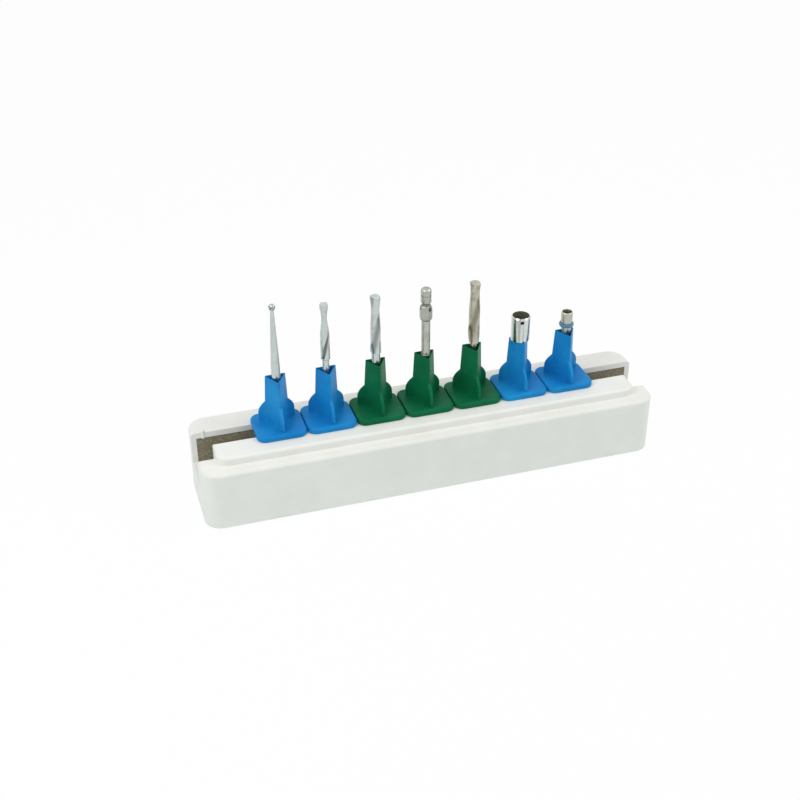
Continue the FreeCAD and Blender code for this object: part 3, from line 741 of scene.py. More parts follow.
@dataclass
class RoundBur(Instrument):
    """Round bur: long tapered neck and a small ball head with helical blades.

    Attributes:
        reach: top of the head above the datum.
        head: radius of the head.
        neck: radius of the neck at the head.
        join: centre of the head to its neck, in head radii.
        shoulder: upper end of the plain shank above the datum.
        taper: levels of the neck, as shares of its length.
        levels: levels of the head.
        blades: number of blades.
        blade_depth: depth of the gullets.
        blade_face: share of a blade that its steep face takes.
        blade_turn: turn of the blades over one head radius, in radians.
        blade_low: lower end of the shaded blades, in head radii from the centre.
        shade: share of painted shade on the crests of the blades.
    """

    reach: float = 20.3
    head: float = 0.92
    neck: float = 0.48
    join: float = 0.8
    shoulder: float = 2.8
    taper: tuple[float, ...] = (0.04, 0.12, 0.3, 0.5, 0.7, 0.85, 1.0)
    levels: int = 24
    blades: int = 6
    blade_depth: float = 0.24
    blade_face: float = 0.2
    blade_turn: float = 0.9
    blade_low: float = -0.7
    shade: float = 0.3

    def hollow(self, reach: float, height: float) -> float:
        """Painted shade in the gullets of the head, with a share of it on the crests."""
        lift = height - (SOCKET + self.reach - self.head)
        if lift < self.blade_low * self.head:
            return 0.0
        ball = math.sqrt(max(0.0, self.head ** 2 - lift ** 2))
        return held(self.shade + (1.0 - self.shade) * (ball - NEAR_SURFACE - reach) / self.blade_depth)

    def stations(self) -> list[Station]:
        """Levels of shank, tapered neck and bladed head."""
        base, centre = SOCKET + self.shoulder, SOCKET + self.reach - self.head
        levels = self.shank(base)
        join = centre - self.join * self.head
        levels += turned(*((base + share * (join - base), SHANK + share * (self.neck - SHANK))
                           for share in self.taper))
        for k in range(1, self.levels):
            lift = -math.cos(math.pi * k / self.levels)
            height = centre + lift * self.head
            if height <= join:
                continue
            ball = self.head * math.sqrt(max(0.0, 1.0 - lift * lift))
            depth = self.blade_depth * (ball / self.head) ** 2
            levels.append(Station(height, self.head, self.blade_turn * (height - join) / self.head,
                                  self.bladed(ball, depth)))
        return levels

    def bladed(self, ball: float, depth: float) -> Callable[[float], float]:
        """Section of the head at one level: saw-tooth blades round the ball.

        Args:
            ball: radius of the ball at this level.
            depth: depth of the gullets.

        Returns:
            Radius by angle.
        """
        def reach(angle: float) -> float:
            """Radius at an angle."""
            share = (angle * self.blades / FULL_TURN) % 1.0
            face, back = share / self.blade_face, (share - self.blade_face) / (1.0 - self.blade_face)
            return ball - depth * (face if share < self.blade_face else 1.0 - back)

        return reach


@dataclass
class TwistDrill(Instrument):
    """Two-flute twist drill: margins, relieved lands, hollow flutes and a conical ground point.

    Attributes:
        reach: tip above the datum.
        radius: radius of the fluted part.
        start: lower end of the fluted part above the datum.
        run_out: part above that end that isn't shaded.
        lead: rise of a flute in one turn.
        web: radius left at the bottom of a flute.
        phase: direction of the first land at the lower end, in degrees.
        neck: radius of the neck.
        neck_length: length of the neck, or nil for none.
        fillet: height of the fillet over the neck.
        fillet_width: width of the fillet over the neck.
        land: width of a land, in degrees.
        margin: width of its margin, in degrees.
        relief: depth of the land behind the margin.
        skew: exponent that moves the bottom of a flute off its middle.
        belly: exponent that makes a flute rounder.
        point: half the angle of the point, in degrees.
        tip_flat: radius of the flat on the tip.
        pitch: distance of the levels.
        point_pitch: distance of the levels in the point.
    """

    reach: float = 18.9
    radius: float = 1.4
    start: float = 2.0
    run_out: float = 0.1
    lead: float = 33.0
    web: float = 1.08
    phase: float = 40.0
    neck: float = SHANK
    neck_length: float = 0.0
    fillet: float = 0.25
    fillet_width: float = 0.2
    land: float = 76.0
    margin: float = 15.0
    relief: float = 0.06
    skew: float = 0.85
    belly: float = 0.75
    point: float = 62.0
    tip_flat: float = 0.12
    pitch: float = 0.2
    point_pitch: float = 0.045

    def outside(self, height: float) -> float:
        """Radius of the drill at a height, with its point."""
        cone = self.tip_flat + (SOCKET + self.reach - height) * math.tan(math.radians(self.point))
        return min(self.radius, cone)

    def hollow(self, reach: float, height: float) -> float:
        """Depth in a flute, from which the steel paints shade."""
        if height < SOCKET + self.start + self.run_out:
            return 0.0
        land = self.outside(height) - self.relief - NEAR_SURFACE
        return held((land - reach) / (self.radius - self.web))

    def section(self, angle: float) -> float:
        """Radius of the fluted section.

        Args:
            angle: angle from the middle of a land.

        Returns:
            The radius in millimetres.
        """
        half, ground = math.radians(self.land / 2), self.radius - self.relief
        turn = (angle + math.pi / 2) % math.pi - math.pi / 2
        if abs(turn) <= half:
            return self.radius if half - turn <= math.radians(self.margin) else ground
        share = (turn % math.pi - half) / (math.pi - 2 * half)
        depth = math.sin(math.pi * share ** self.skew) ** self.belly
        return ground - (ground - self.web) * depth

    def stations(self) -> list[Station]:
        """Levels of shank, neck, fluted part with its run-out, and point."""
        base, top = SOCKET + self.start, SOCKET + self.reach
        levels = self.shank(base - self.neck_length)
        if self.neck_length:
            levels += turned((base - self.neck_length, self.neck), (base - self.fillet, self.neck),
                             (base, self.neck + self.fillet_width))
        spin, first = FULL_TURN / self.lead, math.radians(self.phase)
        drop = (self.radius - self.tip_flat) / math.tan(math.radians(self.point))
        heights = steps(base, top - drop, self.pitch) + steps(top - drop, top, self.point_pitch)[1:]
        levels += [Station(height, self.outside(height), first + spin * (height - base), self.section)
                   for height in heights]
        return levels


@dataclass
class PilotDrill(Instrument):
    """Pilot drill: flared crown, slim waist, body with two round helical flutes, thin shank.

    Attributes:
        reach: tip above the datum.
        tip: radius at the tip.
        crown: widest radius of the crown.
        crown_drop: tip to that place.
        waist: radius of the waist.
        waist_drop: tip to the waist.
        body: radius of the body.
        body_drop: tip to the upper end of the body.
        step: lower end of the body above the datum.
        step_width: how much narrower its lowest level is.
        step_plain: height of the body over that end that isn't shaded.
        thin: radius of the thin shank.
        mouth: lower end of the thin shank below the datum.
        flute: radius of the round flutes.
        flute_out: how far their centres lie outside the body, in flute radii.
        lead: rise of a flute in one turn.
        phase: direction of the first flute at the lower end, in degrees.
        pitch: distance of the levels.
        shade_drop: tip to the upper end of the shaded flutes, and the length over which they darken.
        shade_clear: depth that isn't shaded.
        shade_depth: depth over which the shade grows.
    """

    reach: float = 18.3
    tip: float = 1.02
    crown: float = 1.12
    crown_drop: float = 0.9
    waist: float = 0.72
    waist_drop: float = 4.0
    body: float = 1.24
    body_drop: float = 9.3
    step: float = 2.4
    step_width: float = 0.1
    step_plain: float = 0.05
    thin: float = 0.92
    mouth: float = 3.2
    flute: float = 0.62
    flute_out: float = 0.35
    lead: float = 24.0
    phase: float = 29.5
    pitch: float = 0.15
    shade_drop: float = 3.0
    shade_clear: float = 0.02
    shade_depth: float = 0.34

    def outline(self, height: float) -> float:
        """Radius of the turned blank.

        Args:
            height: height above the datum.

        Returns:
            The radius in millimetres.
        """
        drop = self.reach - height
        knots = (
            (0.0, self.tip - 0.06), (0.1, self.tip), (0.5, self.crown - 0.02),
            (self.crown_drop, self.crown), (1.4, self.crown - 0.07), (2.4, self.waist + 0.14),
            (self.waist_drop, self.waist), (5.6, self.waist + 0.12), (7.4, self.body - 0.12),
            (self.body_drop, self.body), (self.reach - self.step, self.body))
        for (low, first), (high, second) in zip(knots, knots[1:]):
            if drop <= high:
                share = (drop - low) / (high - low)
                smooth = share * share * (3 - 2 * share)
                return first + (second - first) * smooth
        return self.body

    def hollow(self, reach: float, height: float) -> float:
        """Depth in a flute, painted as shade that grows in below the waist."""
        if height < SOCKET + self.step + self.step_plain:
            return 0.0
        low_down = held((SOCKET + self.reach - height - self.shade_drop) / self.shade_drop)
        blank = self.outline(height - SOCKET)
        return low_down * held((blank - self.shade_clear - reach) / self.shade_depth)

    def fluted(self, blank: float) -> Callable[[float], float]:
        """Section of the body: the blank with two round flutes milled in.

        Args:
            blank: radius of the blank at this level.

        Returns:
            Radius by angle from a flute's middle.
        """
        centre = self.body + self.flute_out * self.flute

        def reach(angle: float) -> float:
            """Radius at an angle."""
            turn = abs((angle + math.pi / 2) % math.pi - math.pi / 2)
            across = centre * math.sin(turn)
            if across >= self.flute:
                return blank
            inner = centre * math.cos(turn) - math.sqrt(self.flute ** 2 - across ** 2)
            return min(blank, inner)

        return reach

    def stations(self) -> list[Station]:
        """Levels of shank, thin shank and fluted body with its crown."""
        base, top = SOCKET + self.step, SOCKET + self.reach
        spin, first = FULL_TURN / self.lead, math.radians(self.phase)
        lowest = self.body - self.step_width
        levels = self.shank(SOCKET - self.mouth)
        levels += turned((SOCKET - self.mouth, self.thin), (base, self.thin))
        levels.append(Station(base, lowest, first, self.fluted(lowest)))
        for height in steps(base, top, self.pitch)[1:]:
            blank = self.outline(height - SOCKET)
            levels.append(Station(height, blank, first + spin * (height - base), self.fluted(blank)))
        return levels


@dataclass
class HexDriver(Instrument):
    """Driver: shaft, barrel-shaped hexagon collar with notched flats, ring groove and domed cap.

    Attributes:
        reach: top of the cap above the datum.
        shaft: radius of the shaft.
        ring: radius of the ring in the socket's mouth.
        ring_span: lower and upper end of that ring from the datum.
        ease: chamfer of the ring.
        corner: corner radius of the hexagon.
        corner_ease: how much its corners are turned down.
        turn: turn of the hexagon, in degrees.
        barrel: turned outline of the collar, as height from its lower end and radius.
        notch_half: half the width of a notch.
        notch_depth: depth of a notch.
        notch_low: lower end of the notches above the datum.
        collar_low: lower end of the collar above the datum.
        collar_high: upper end of the collar above the datum.
        waist: radius of the waist over the collar.
        cap: radius of the cap.
        groove_drop: top of the cap to the lower end of its ring groove.
        cap_groove: depth of the ring groove.
        dome: radius of the cap's rounded edge.
        dome_steps: steps of that edge.
        dome_flat: radius of the flat on the cap.
        collar_dark: how much darker the collar is drawn.
        cap_dark: how much darker the cap is drawn.
        collar_end: height at each end of the collar without shaded notches.
        notch_rim: radius from which painted shade darkens a notch.
        notch_shade: depth over which it darkens.
        waist_span: ends of the painted shade in the waist, from the collar's upper end.
        waist_rim: how far under the cap's radius the waist's shade starts.
        waist_shade: growth of that shade with depth.
    """

    reach: float = 18.55
    shaft: float = 1.18
    ring: float = 1.22
    ring_span: tuple[float, float] = (-1.3, -0.75)
    ease: float = 0.06
    corner: float = 1.78
    corner_ease: float = 0.07
    turn: float = 27.0
    barrel: tuple[tuple[float, float], ...] = (
        (0.0, 1.2), (0.12, 1.33), (0.3, 1.47), (0.6, 1.64), (0.9, 1.74), (1.2, 1.78), (2.4, 1.79),
        (2.9, 1.76), (2.98, 1.755), (3.0, 1.75), (3.3, 1.7), (3.6, 1.63), (3.9, 1.53), (4.15, 1.42),
        (4.32, 1.31), (4.4, 1.2))
    notch_half: float = 0.46
    notch_depth: float = 0.4
    notch_low: float = 12.3
    collar_low: float = 9.3
    collar_high: float = 13.7
    waist: float = 1.05
    cap: float = 1.4
    groove_drop: float = 2.1
    cap_groove: float = 0.14
    dome: float = 0.78
    dome_steps: int = 12
    dome_flat: float = 0.35
    collar_dark: float = 0.24
    cap_dark: float = 0.14
    collar_end: float = 0.5
    notch_rim: float = 1.42
    notch_shade: float = 0.3
    waist_span: tuple[float, float] = (-0.1, 0.9)
    waist_rim: float = 0.05
    waist_shade: float = 2.5

    def hollow(self, reach: float, height: float) -> float:
        """Painted shade in a notch and in the waist under the cap, over a collar and cap drawn darker."""
        low, high = SOCKET + self.collar_low, SOCKET + self.collar_high
        if low + self.collar_end < height < high - self.collar_end:
            return held((self.notch_rim - reach) / self.notch_shade, self.collar_dark)
        if self.waist_span[0] < height - high < self.waist_span[1]:
            return held(self.waist_shade * (self.cap - self.waist_rim - reach), self.cap_dark)
        if height <= low:
            return 0.0
        return self.collar_dark if height < high else self.cap_dark

    def flats(self, notched: bool) -> Callable[[float], float]:
        """Section of the collar: hexagon with eased corners, with or without its notches.

        Args:
            notched: cut a notch into every second flat.

        Returns:
            Radius by angle.
        """
        apothem = self.corner * math.cos(math.pi / 6)
        first_flat, first_notch = math.radians(30.0 + self.turn), math.radians(270.0 + self.turn)

        def reach(angle: float) -> float:
            """Radius at an angle."""
            from_flat = (angle - first_flat + math.pi / 6) % (math.pi / 3) - math.pi / 6
            plain = min(apothem / math.cos(from_flat), self.corner - self.corner_ease)
            from_notch = (angle - first_notch + math.pi / 3) % (FULL_TURN / 3) - math.pi / 3
            if notched and abs(plain * math.sin(from_notch)) < self.notch_half:
                return min(plain, (apothem - self.notch_depth) / math.cos(from_notch))
            return plain

        return reach

    def stations(self) -> list[Station]:
        """Levels of shank, ring, shaft, collar, waist, grooved cap and dome."""
        ring_low, ring_high = (SOCKET + lift for lift in self.ring_span)
        low, high = SOCKET + self.collar_low, SOCKET + self.collar_high
        levels = self.shank(ring_low)
        levels += turned((ring_low, self.ring - self.ease), (ring_low + 0.08, self.ring),
                         (ring_high - 0.08, self.ring), (ring_high, self.ring - self.ease),
                         (ring_high, self.shaft), (low - 0.9, self.shaft), (low - 0.02, self.shaft + 0.03))
        notch_low = SOCKET + self.notch_low - 0.01
        levels += [Station(low + lift, min(radius, self.corner), 0.0, self.flats(low + lift > notch_low))
                   for lift, radius in self.barrel]
        top = SOCKET + self.reach
        groove, in_groove = top - self.groove_drop, self.cap - self.cap_groove
        levels += turned((high + 0.02, self.waist + 0.04), (high + 0.1, self.waist),
                         (high + 0.55, self.waist), (high + 0.87, self.cap - 0.03), (high + 0.95, self.cap),
                         (groove, self.cap), (groove + 0.05, in_groove), (groove + 0.25, in_groove),
                         (groove + 0.3, self.cap), (top - self.dome, self.cap))
        for k in range(1, self.dome_steps + 1):
            swing = math.pi / 2 * k / (self.dome_steps + 0.5)
            levels.append(Station(top - self.dome * (1.0 - math.sin(swing)),
                                  self.cap - self.dome * (1.0 - math.cos(swing))))
        levels.append(Station(top, self.dome_flat))
        return levels


@dataclass
class TissuePunch(Instrument):
    """Tissue punch: polished thin walled cup with a bevelled edge and a side window.

    Attributes:
        sides: points round a section.
        radius: outer radius of the cup.
        wall: thickness of its wall.
        foot: lower end of the cup from the datum.
        height: its edge above the datum.
        bore: depth of the bore.
        bevel: height of the bevel outside the edge.
        window: radius of the window.
        window_drop: edge of the cup to the middle of the window.
        window_side: direction of the window, in degrees.
        window_frame: half the height of the finer levels round it, in window radii.
        window_cut: cells with their middle inside this share of the window are cut out.
        lattice: rows of cells across the window's levels.
        lining: thickness of the wall that is shaded as the bore.
        outer_row: first of the window's levels on the outer wall, set by stations.
        inner_row: first of the window's levels on the inner wall, set by stations.
    """

    sides: int = 120
    radius: float = 2.55
    wall: float = 0.3
    foot: float = -0.85
    height: float = 6.3
    bore: float = 5.0
    bevel: float = 0.32
    window: float = 0.55
    window_drop: float = 1.15
    window_side: float = -103.0
    window_frame: float = 1.35
    window_cut: float = 0.93
    lattice: int = 12
    lining: float = 0.04
    outer_row: int = field(init=False, default=0)
    inner_row: int = field(init=False, default=0)

    def hollow(self, reach: float, height: float) -> float:
        """One inside the bore, where the steel paints shade."""
        inside = reach < self.radius - self.wall + self.lining
        return 1.0 if inside and height > SOCKET + self.height - self.bore - UNDER_BORE else 0.0

    def heights(self) -> list[float]:
        """Wall levels that pass the window, from the lowest to the highest."""
        middle, half = SOCKET + self.height - self.window_drop, self.window_frame * self.window
        return [middle - half + 2 * half * k / self.lattice for k in range(self.lattice + 1)]

    def stations(self) -> list[Station]:
        """Levels up the outer wall, over the edge and down the bore."""
        low, edge = SOCKET + self.foot, SOCKET + self.height
        floor, inner = edge - self.bore, self.radius - self.wall
        levels = self.shank(low)
        levels += turned((low, self.radius - 0.12), (low + 0.04, self.radius - 0.03),
                         (low + 0.13, self.radius))
        self.outer_row = len(levels)
        levels += [Station(height, self.radius) for height in self.heights()]
        levels += turned((edge - self.bevel, self.radius), (edge - 0.06, inner + 0.1), (edge, inner + 0.05),
                         (edge - 0.03, inner))
        self.inner_row = len(levels)
        levels += [Station(height, inner) for height in reversed(self.heights())]
        levels += turned((floor + 0.2, inner), (floor + 0.05, inner - 0.06), (floor, inner - 0.2))
        return levels

    def pierce(self, build: bmesh.types.BMesh, rows: Rows) -> None:
        """Open the round window through both walls and line its rim.

        Args:
            build: mesh of the skin, in metres.
            rows: its vertices, one row for each station.
        """
        pitch = FULL_TURN / self.sides
        centre = round(math.radians(self.window_side % 360.0) / pitch)
        middle = SOCKET + self.height - self.window_drop
        heights = self.heights()

        def spot(level: int, column: int) -> Vector:
            """Place on the unrolled outer wall, from the window's middle."""
            return Vector(((column - centre) * pitch * self.radius, heights[level] - middle))

        def walls(level: int, column: int) -> tuple[bmesh.types.BMVert, bmesh.types.BMVert]:
            """Vertices of the outer and the inner wall at one place."""
            outer = rows[self.outer_row + level]
            inner = rows[self.inner_row + self.lattice - level]
            return outer[column % self.sides], inner[column % self.sides]

        reach = math.ceil(self.window / (pitch * self.radius)) + 3
        cells = {(level, column) for level in range(self.lattice)
                 for column in range(centre - reach, centre + reach)
                 if ((spot(level, column) + spot(level + 1, column + 1)) / 2).length
                 < self.window_cut * self.window}
        axis = sum((vert.co for vert in rows[self.outer_row]), Vector()) / self.sides
        rim: dict[tuple[int, int], None] = {}
        for level, column in sorted(cells):
            corners = ((level, column), (level, column + 1), (level + 1, column + 1), (level + 1, column))
            for wall in zip(*(walls(*corner) for corner in corners)):
                build.faces.remove(build.faces.get(wall))
            for start, end, side in ((0, 1, (level - 1, column)), (1, 2, (level, column + 1)),
                                     (2, 3, (level + 1, column)), (3, 0, (level, column - 1))):
                if side in cells:
                    continue
                outer_first, inner_first = walls(*corners[start])
                outer_last, inner_last = walls(*corners[end])
                build.faces.new((outer_first, outer_last, inner_last, inner_first))
                rim[corners[start]] = rim[corners[end]] = None
        for level, column in rim:
            here = spot(level, column)
            flat = here.normalized() * self.window
            angle = centre * pitch + flat.x / self.radius
            outward = Vector((math.cos(angle), math.sin(angle)))
            for vert, radius in zip(walls(level, column), (self.radius, self.radius - self.wall)):
                vert.co.xy = axis.xy + outward * radius * MM
                vert.co.z += (flat.y - here.y) * MM
        loose = [vert for vert in build.verts if not vert.link_faces]
        bmesh.ops.delete(build, geom=loose, context="VERTS")


@dataclass
class DrillStop(Instrument):
    """Drill stop: short hollow cylinder with an eased mouth, and a waist for the coloured ring.

    Attributes:
        radius: outer radius.
        seat: radius of the waist under the shoulder.
        seat_top: the shoulder above the datum.
        reach: the mouth above the datum.
        bore: radius of the bore.
        bore_depth: depth of the bore.
        shank_drop: upper end of the plain shank below the datum.
        shade_reach: the bore's wall to the outer end of the painted shade round the mouth.
        shade_fade: width over which that painted shade ends.
    """

    radius: float = 1.55
    seat: float = 1.4
    seat_top: float = 2.05
    reach: float = 5.3
    bore: float = 1.15
    bore_depth: float = 3.4
    shank_drop: float = 1.2
    shade_reach: float = 0.22
    shade_fade: float = 0.2

    def hollow(self, reach: float, height: float) -> float:
        """Painted shade inside the bore and round its mouth."""
        if height < SOCKET + self.reach - self.bore_depth - UNDER_BORE:
            return 0.0
        return held((self.bore + self.shade_reach - reach) / self.shade_fade)

    def stations(self) -> list[Station]:
        """Levels up the outside, over the mouth and down the bore."""
        top, shoulder = SOCKET + self.reach, SOCKET + self.seat_top
        floor = top - self.bore_depth
        return self.shank(SOCKET - self.shank_drop) + turned(
            (SOCKET, self.seat - 0.02), (SOCKET + 0.06, self.seat), (shoulder, self.seat),
            (shoulder, self.radius - 0.05), (shoulder + 0.05, self.radius), (top - 0.3, self.radius),
            (top - 0.18, self.radius - 0.03), (top - 0.08, self.radius - 0.09),
            (top - 0.02, self.radius - 0.17), (top, self.radius - 0.25), (top - 0.03, self.bore + 0.06),
            (top - 0.12, self.bore), (floor + 0.15, self.bore), (floor, self.bore - 0.15))


@dataclass
class MarkingRing(Instrument):
    """Coloured ring with rounded edges under the drill stop's shoulder.

    Attributes:
        hoop: its skin closes into a ring.
        flat_length: below the ring, so it has no driving flat.
        inside: inner radius.
        outside: outer radius.
        low: its lower face above the datum.
        height: its height.
        rounding: radius of the outer edges.
        ease: chamfer of the inner edges.
        arc_steps: steps of an outer edge.
    """

    hoop: bool = True
    flat_length: float = -1.0
    inside: float = 1.43
    outside: float = 1.98
    low: float = 1.0
    height: float = 1.0
    rounding: float = 0.3
    ease: float = 0.05
    arc_steps: int = 6

    def stations(self) -> list[Station]:
        """Levels once round the ring's section."""
        base, top = SOCKET + self.low, SOCKET + self.low + self.height
        levels = turned((top - self.ease, self.inside), (base + self.ease, self.inside),
                        (base, self.inside + self.ease))
        for middle, first in ((base + self.rounding, -90.0), (top - self.rounding, 0.0)):
            for k in range(self.arc_steps + 1):
                swing = math.radians(first + 90.0 * k / self.arc_steps)
                levels.append(Station(middle + self.rounding * math.sin(swing),
                                      self.outside - self.rounding * (1.0 - math.cos(swing))))
        levels.append(Station(top, self.inside + self.ease))
        return levels


@dataclass
class Stand:
    """Block, rail, grip strip and end stop.

    Attributes:
        edges: node, finish and width of the rounded edges of each carried-over piece.
        strip_cell: size of a cell of the strip's face.
        grit: largest depth between two grains.
        rim_sink: how deep the rim of the face lies.
        strip_sharp: edges that turn more than this many degrees stay crisp.
        seed: start of the random draws.
    """

    edges: tuple[tuple[str, MouldedPlastic, float], ...] = (
        ("base_block", WHITE, 0.18), ("front_rail", LIGHTENED_WHITE, 0.12), ("end_stop_peg", LIGHTENED_WHITE, 0.05))
    strip_cell: float = 0.22
    grit: float = 0.055
    rim_sink: float = 0.06
    strip_sharp: float = 50.0
    seed: int = 11

    def build(self) -> None:
        """Dress the carried-over pieces and build the grit surface of the strip."""
        for node, look, width in self.edges:
            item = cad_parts[node]
            coat(item, look)
            soften(item, width)
            LOG.info("%s: dressed", node)
        self.strip()

    def strip(self) -> bpy.types.Object:
        """Grip strip with a granular face.

        Returns:
            The strip, which stands for its CAD node.
        """
        low, high = (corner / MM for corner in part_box("grip_strip"))
        draw = random.Random(self.seed)
        columns = round((high.x - low.x) / self.strip_cell)
        rows = round((high.z - low.z) / self.strip_cell)
        mesh = bpy.data.meshes.new("grip_strip_piece")
        build = bmesh.new()
        front: Rows = []
        for j in range(rows + 1):
            line = []
            for i in range(columns + 1):
                rim = i in (0, columns) or j in (0, rows)
                sink = self.rim_sink if rim else self.grit * draw.random() ** 2
                line.append(build.verts.new(Vector((
                    low.x + (high.x - low.x) * i / columns, low.y + sink,
                    low.z + (high.z - low.z) * j / rows)) * MM))
            front.append(line)
        for j in range(rows):
            for i in range(columns):
                build.faces.new((front[j][i], front[j][i + 1], front[j + 1][i + 1], front[j + 1][i]))
        edge = front[0] + [line[-1] for line in front[1:]]
        edge += front[-1][-2::-1] + [line[0] for line in front[-2:0:-1]]
        back = [build.verts.new(Vector((vert.co.x, high.y * MM, vert.co.z))) for vert in edge]
        for k in range(len(edge)):
            after = (k + 1) % len(edge)
            build.faces.new((edge[after], edge[k], back[k], back[after]))
        build.faces.new(back)
        bmesh.ops.recalc_face_normals(build, faces=build.faces)
        build.to_mesh(mesh)
        build.free()
        mesh.shade_smooth()
        mesh.set_sharp_from_angle(angle=math.radians(self.strip_sharp))
        item = add_object("grip_strip_piece", mesh)
        coat(item, GRIT)
        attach(item, "stand")
        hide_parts("grip_strip")
        LOG.info("grip_strip: %d faces", len(mesh.polygons))
        return item


def rounded(corners: Sequence[tuple[float, float]], radius: float, height: float) -> list[Vector]:
    """Level outline of a convex polygon with rounded corners.

    Args:
        corners: corners in turning order, counter-clockwise.
        radius: radius of the corners.
        height: height of the outline.

    Returns:
        The outline's points.
    """
    points, total = [], len(corners)
    for k, (across, along) in enumerate(corners):
        spot = Vector((across, along))
        before = (Vector(corners[k - 1]) - spot).normalized()
        after = (Vector(corners[(k + 1) % total]) - spot).normalized()
        half = before.angle(after) / 2
        centre = spot + (before + after).normalized() * (radius / math.sin(half))
        first = spot + before * radius / math.tan(half) - centre
        start, sweep = math.atan2(first.y, first.x), math.pi - 2 * half
        for j in range(CORNER_STEPS + 1):
            angle = start + sweep * j / CORNER_STEPS
            points.append(Vector((centre.x + radius * math.cos(angle), centre.y + radius * math.sin(angle),
                                  height)))
    return points


@dataclass(frozen=True)
class HolderMould:
    """Moulded shape of a holder in millimetres: tube axis at the origin, underside of the plate at zero.

    Attributes:
        half: half the width of the plate.
        front: axis to the plate's front edge.
        back: axis to the plate's rear edge.
        plate: thickness of the plate.
        corner: corner radius of the plate.
        edge: radius of its upper edge.
        edge_steps: steps of that edge.
        burr: chamfer of its lower edge.
        foot_half: half the width of the foot.
        foot_side: half the depth of the foot.
        foot_depth: length of the foot under the plate.
        foot_corner: corner radius of the foot.
        foot_ease: chamfer of the foot's end.
        foot_root: how far the foot reaches into the plate.
        rim: top of the tube.
        tube_base: corner distance of the tube at the plate.
        tube_rim: corner distance of the tube at the rim.
        tube_corner: corner radius of the tube.
        tube_shift: shift of tube and fins to the right.
        tube_levels: heights of the tube's levels, with how much wider it is there.
        socket: corner distance of the socket.
        mouth: corner distance of the socket at the rim.
        mouth_depth: depth of the tapered mouth.
        mouth_ease: chamfer of the mouth.
        socket_corner: corner radius of the socket.
        socket_shift: shift of the socket to the right.
        floor: height of the socket's floor.
        fin: thickness of a fin at the tube.
        fin_outer: thickness of a fin at its outer edge.
        fin_root: where a fin starts, inside the tube.
        fin_low: lower edge of the fins, inside the plate.
        fin_high: upper edge of the fins above the plate.
        fin_narrow: reach from which a fin narrows.
        fin_span: length over which it narrows.
        fin_eased: height above the plate from which a fin's edge is drawn in.
        fin_slices: places across the fin's thickness, with how far its edge is drawn in there.
        front_longer: how much further out the front fin reaches.
        fin_curve: outline of a fin, as reach from the axis and height above the plate.
        sharp: edges that turn more than this many degrees stay crisp.
    """

    half: float = 6.65
    front: float = 7.0
    back: float = 5.6
    plate: float = 1.5
    corner: float = 2.4
    edge: float = 0.6
    edge_steps: int = 5
    burr: float = 0.1
    foot_half: float = 4.75
    foot_side: float = 2.8
    foot_depth: float = 8.35
    foot_corner: float = 1.2
    foot_ease: float = 0.25
    foot_root: float = 0.4
    rim: float = RIM_FROM_PLATE
    tube_base: float = 4.0
    tube_rim: float = 3.27
    tube_corner: float = 0.22
    tube_shift: float = 0.28
    tube_levels: tuple[tuple[float, float], ...] = (
        (0.7, 0.3), (1.5, 0.28), (1.6, 0.17), (1.75, 0.08), (2.0, 0.02), (2.4, 0.0), (14.8, 0.0),
        (14.9, -0.1))
    socket: float = 2.68
    mouth: float = 2.86
    mouth_depth: float = 1.2
    mouth_ease: float = 0.12
    socket_corner: float = 0.2
    socket_shift: float = 0.18
    floor: float = 1.75
    fin: float = 1.0
    fin_outer: float = 0.78
    fin_root: float = 0.9
    fin_low: float = -0.6
    fin_high: float = 6.5
    fin_narrow: float = 3.0
    fin_span: float = 2.4
    fin_eased: float = 2.0
    fin_slices: tuple[tuple[float, float], ...] = (
        (-1.0, 0.14), (-0.86, 0.04), (-0.7, 0.0), (0.7, 0.0), (0.86, 0.04), (1.0, 0.14))
    front_longer: float = 0.5
    fin_curve: tuple[tuple[float, float], ...] = (
        (5.42, -0.6), (5.42, 2.2), (5.38, 2.6), (5.28, 3.05), (5.08, 3.55), (4.8, 4.05), (4.4, 4.6),
        (3.95, 5.12), (3.5, 5.6), (3.0, 6.05), (2.2, 6.5))
    sharp: float = 38.0

    def slab(self, inset: float, height: float) -> list[Vector]:
        """Outline of the plate, drawn in by an inset."""
        left, right = -self.half + inset, self.half - inset
        near, far = -self.front + inset, self.back - inset
        return rounded(((left, near), (right, near), (right, far), (left, far)), self.corner - inset, height)

    def triangle(self, radius: float, shift: float, corner: float, height: float) -> list[Vector]:
        """Three-sided outline with one corner to the front."""
        turns = (math.radians(turn) for turn in CORNERS)
        return rounded([(shift + radius * math.cos(turn), radius * math.sin(turn)) for turn in turns],
                       corner, height)

    def plate_rings(self) -> list[list[Vector]]:
        """Plate with rounded upper edge and slightly eased lower edge."""
        rings = [self.slab(self.burr, 0.0), self.slab(0.0, self.burr)]
        for k in range(self.edge_steps + 1):
            swing = math.pi / 2 * k / self.edge_steps
            rings.append(self.slab(self.edge * (1 - math.cos(swing)),
                                   self.plate - self.edge * (1 - math.sin(swing))))
        return rings

    def foot_rings(self) -> list[list[Vector]]:
        """Foot under the plate."""
        def outline(inset: float, height: float) -> list[Vector]:
            """Outline of the foot at one height."""
            x, y = self.foot_half - inset, self.foot_side - inset
            return rounded(((-x, -y), (x, -y), (x, y), (-x, y)), self.foot_corner - inset, height)

        return [outline(self.foot_ease, -self.foot_depth), outline(0.0, -self.foot_depth + self.foot_ease),
                outline(0.0, self.foot_root)]

    def tube_rings(self) -> list[list[Vector]]:
        """Outer wall of the tube with a small fillet at the plate and an eased rim."""
        rings = []
        for height, wider in self.tube_levels:
            share = max(0.0, (height - self.plate) / (self.rim - self.plate))
            radius = self.tube_base + (self.tube_rim - self.tube_base) * share + wider
            rings.append(self.triangle(radius, self.tube_shift, self.tube_corner, height))
        return rings

